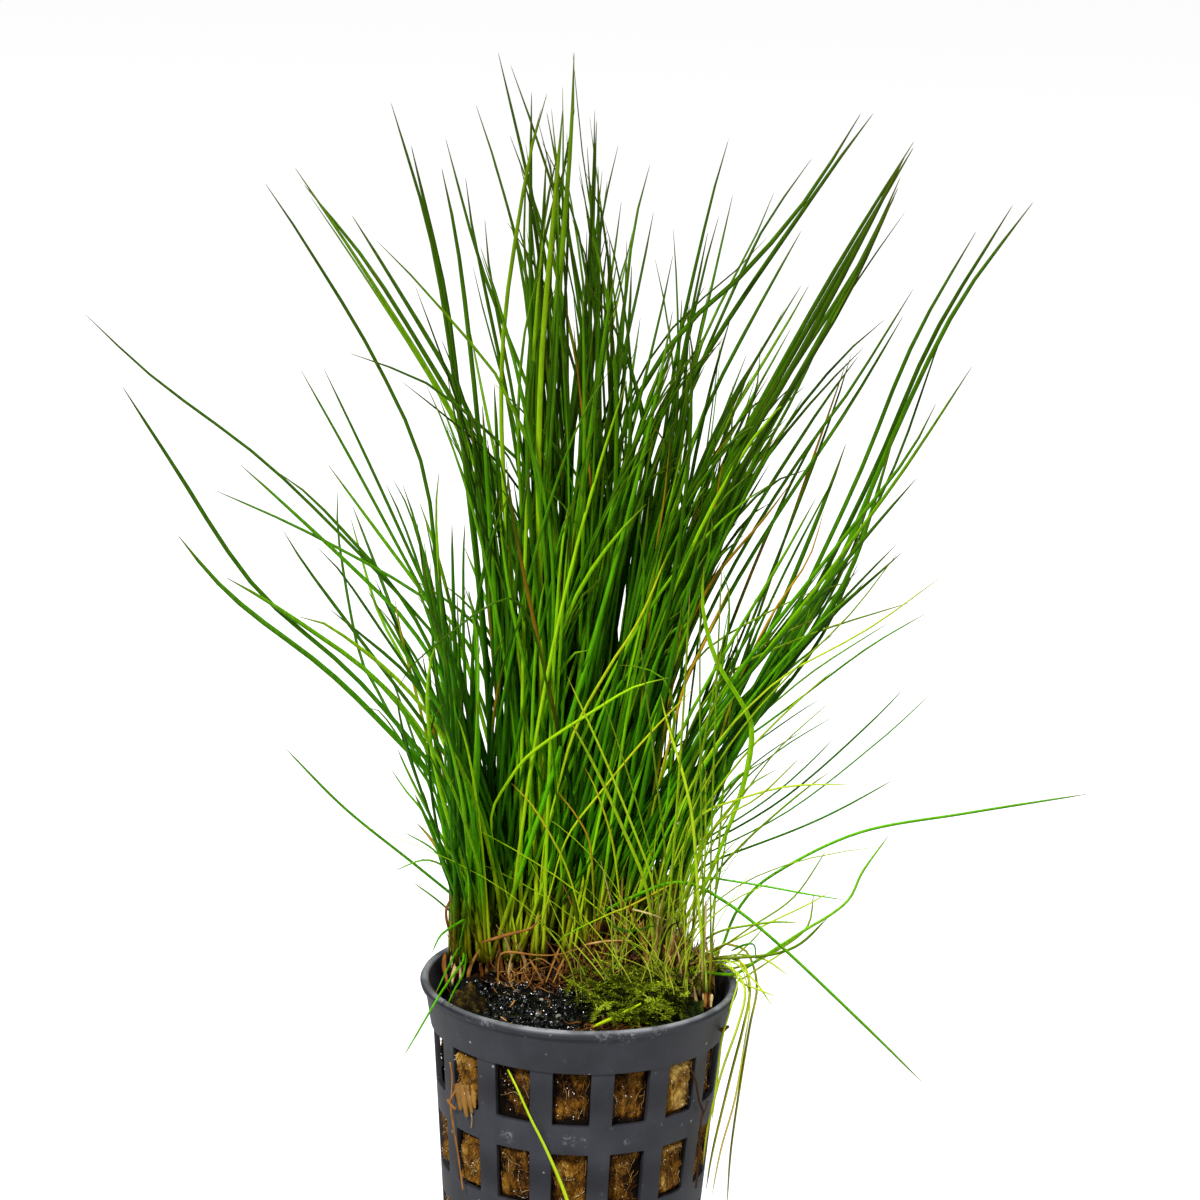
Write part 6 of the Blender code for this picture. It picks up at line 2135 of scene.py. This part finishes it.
# %% Blade and roots on the wall
LIME = culm_finish("lime green blade", feet=((0, "7C9C0A"), (1, "7C9C0A")), tip="98B414", dead="B0762A",
                   greens=((0, "7C9C0A"), (1, "9CB41A")), foot_reach=0.02)
WALL_FINISHES = {"window_blade": (LIME, "pale_culm"), "root_left": (LITTER, "root"),
                 "root_right": (LITTER, "root"), "wool_flap": (HAIR, "wool")}
WALL_RINGS = 36
WALL_FLATNESS = 0.75
for wall_name, placed in ON_WALL.items():
    strands = Strands(7)
    for first, last, tone, route in placed:
        line = smooth_line([on_wall((across, down), off * MM) for across, down, off in route])
        line = resampled(line, np.linspace(0, 1, WALL_RINGS))
        strands.add(line, np.linspace(first, last, WALL_RINGS) * MM, tone, flat=WALL_FLATNESS)
    material, slot = WALL_FINISHES[wall_name]
    wall_piece = strands.made(f"{wall_name}_fine", material)
    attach(wall_piece, "root")
    if wall_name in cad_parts:
        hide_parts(wall_name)
print("on the wall:", len(ON_WALL))

# %% [markdown]
# ## Floor and light
# The picture is a plain studio shot: white all round, soft light from above and both sides. A wide pale
# floor fills the view, a white sky lights it evenly, and three large soft lamps put long highlights on
# the culms and the rim.

# %% The floor
FLOOR_SIDE = 26.0
PAPER_GLOW = 0.95
PAPER_BOUNCE = 0.02
PAPER_GRAIN = 400.0
PAPER_LEVEL = -0.2 * MM
floor = started("studio_floor", bpy.ops.mesh.primitive_plane_add, size=FLOOR_SIDE,
                location=(0, 0, PAPER_LEVEL))
bpy.ops.object.transform_apply(location=True)


def paper_finish():
    """White paper that looks bright to the camera but sends hardly any light back to the plant."""
    made, tree, shader = finish("matt white paper", roughness=0.9, specular=0.1)
    place = node(tree, "TexCoord").outputs["Object"]
    grain = node(tree, "TexNoise", {"Vector": place, "Scale": PAPER_GRAIN, "Detail": 2.0})
    colour = node(tree, "ValToRGB", {"Fac": grain}, stops=((0.3, "9C9C9C"), (0.7, "A6A6A6")))
    tree.links.new(colour.outputs["Color"], shader.inputs["Base Color"])
    shader.inputs["Emission Color"].default_value = (1, 1, 1, 1)
    looked_at = node(tree, "LightPath")
    glow = node(tree, "MapRange", {"Value": looked_at, "To Min": PAPER_BOUNCE, "To Max": PAPER_GLOW})
    tree.links.new(glow.outputs["Result"], shader.inputs["Emission Strength"])
    return made


painted(floor, paper_finish())
print("floor in metres:", FLOOR_SIDE)


# %% The lamps and the sky
LAMPS = {
    "key": ((-0.5, -0.85, 0.98), 0.25, 20.5),
    "fill": ((0.8, -0.6, 0.7), 0.4, 5.0),
    "top": ((0.1, 0.2, 1.1), 0.4, 10.0),
}
SKY_STRENGTH = 0.05
AIM = Vector((0, 0, 0.1))


def lamp(name, place, side, watts):
    """A square lamp that shines at the plant."""
    data = bpy.data.lights.new(name, "AREA")
    data.shape = "SQUARE"
    data.size = side
    data.energy = watts
    made = bpy.data.objects.new(name, data)
    bpy.context.scene.collection.objects.link(made)
    made.location = place
    made.rotation_euler = (AIM - Vector(place)).to_track_quat("-Z", "Y").to_euler()


for lamp_name, (lamp_place, lamp_side, lamp_watts) in LAMPS.items():
    lamp(lamp_name, lamp_place, lamp_side, lamp_watts)
sky = bpy.data.worlds.new("white studio")
sky.use_nodes = True
sky.node_tree.nodes["Background"].inputs["Color"].default_value = (1, 1, 1, 1)
sky_seen = node(sky.node_tree, "LightPath")
sky_light = node(sky.node_tree, "MapRange", {"Value": sky_seen, "To Min": SKY_STRENGTH, "To Max": 1.0})
sky.node_tree.links.new(sky_light.outputs["Result"], sky.node_tree.nodes["Background"].inputs["Strength"])
bpy.context.scene.world = sky
bpy.context.scene.view_settings.view_transform = "Standard"
print("lamps:", len(LAMPS))
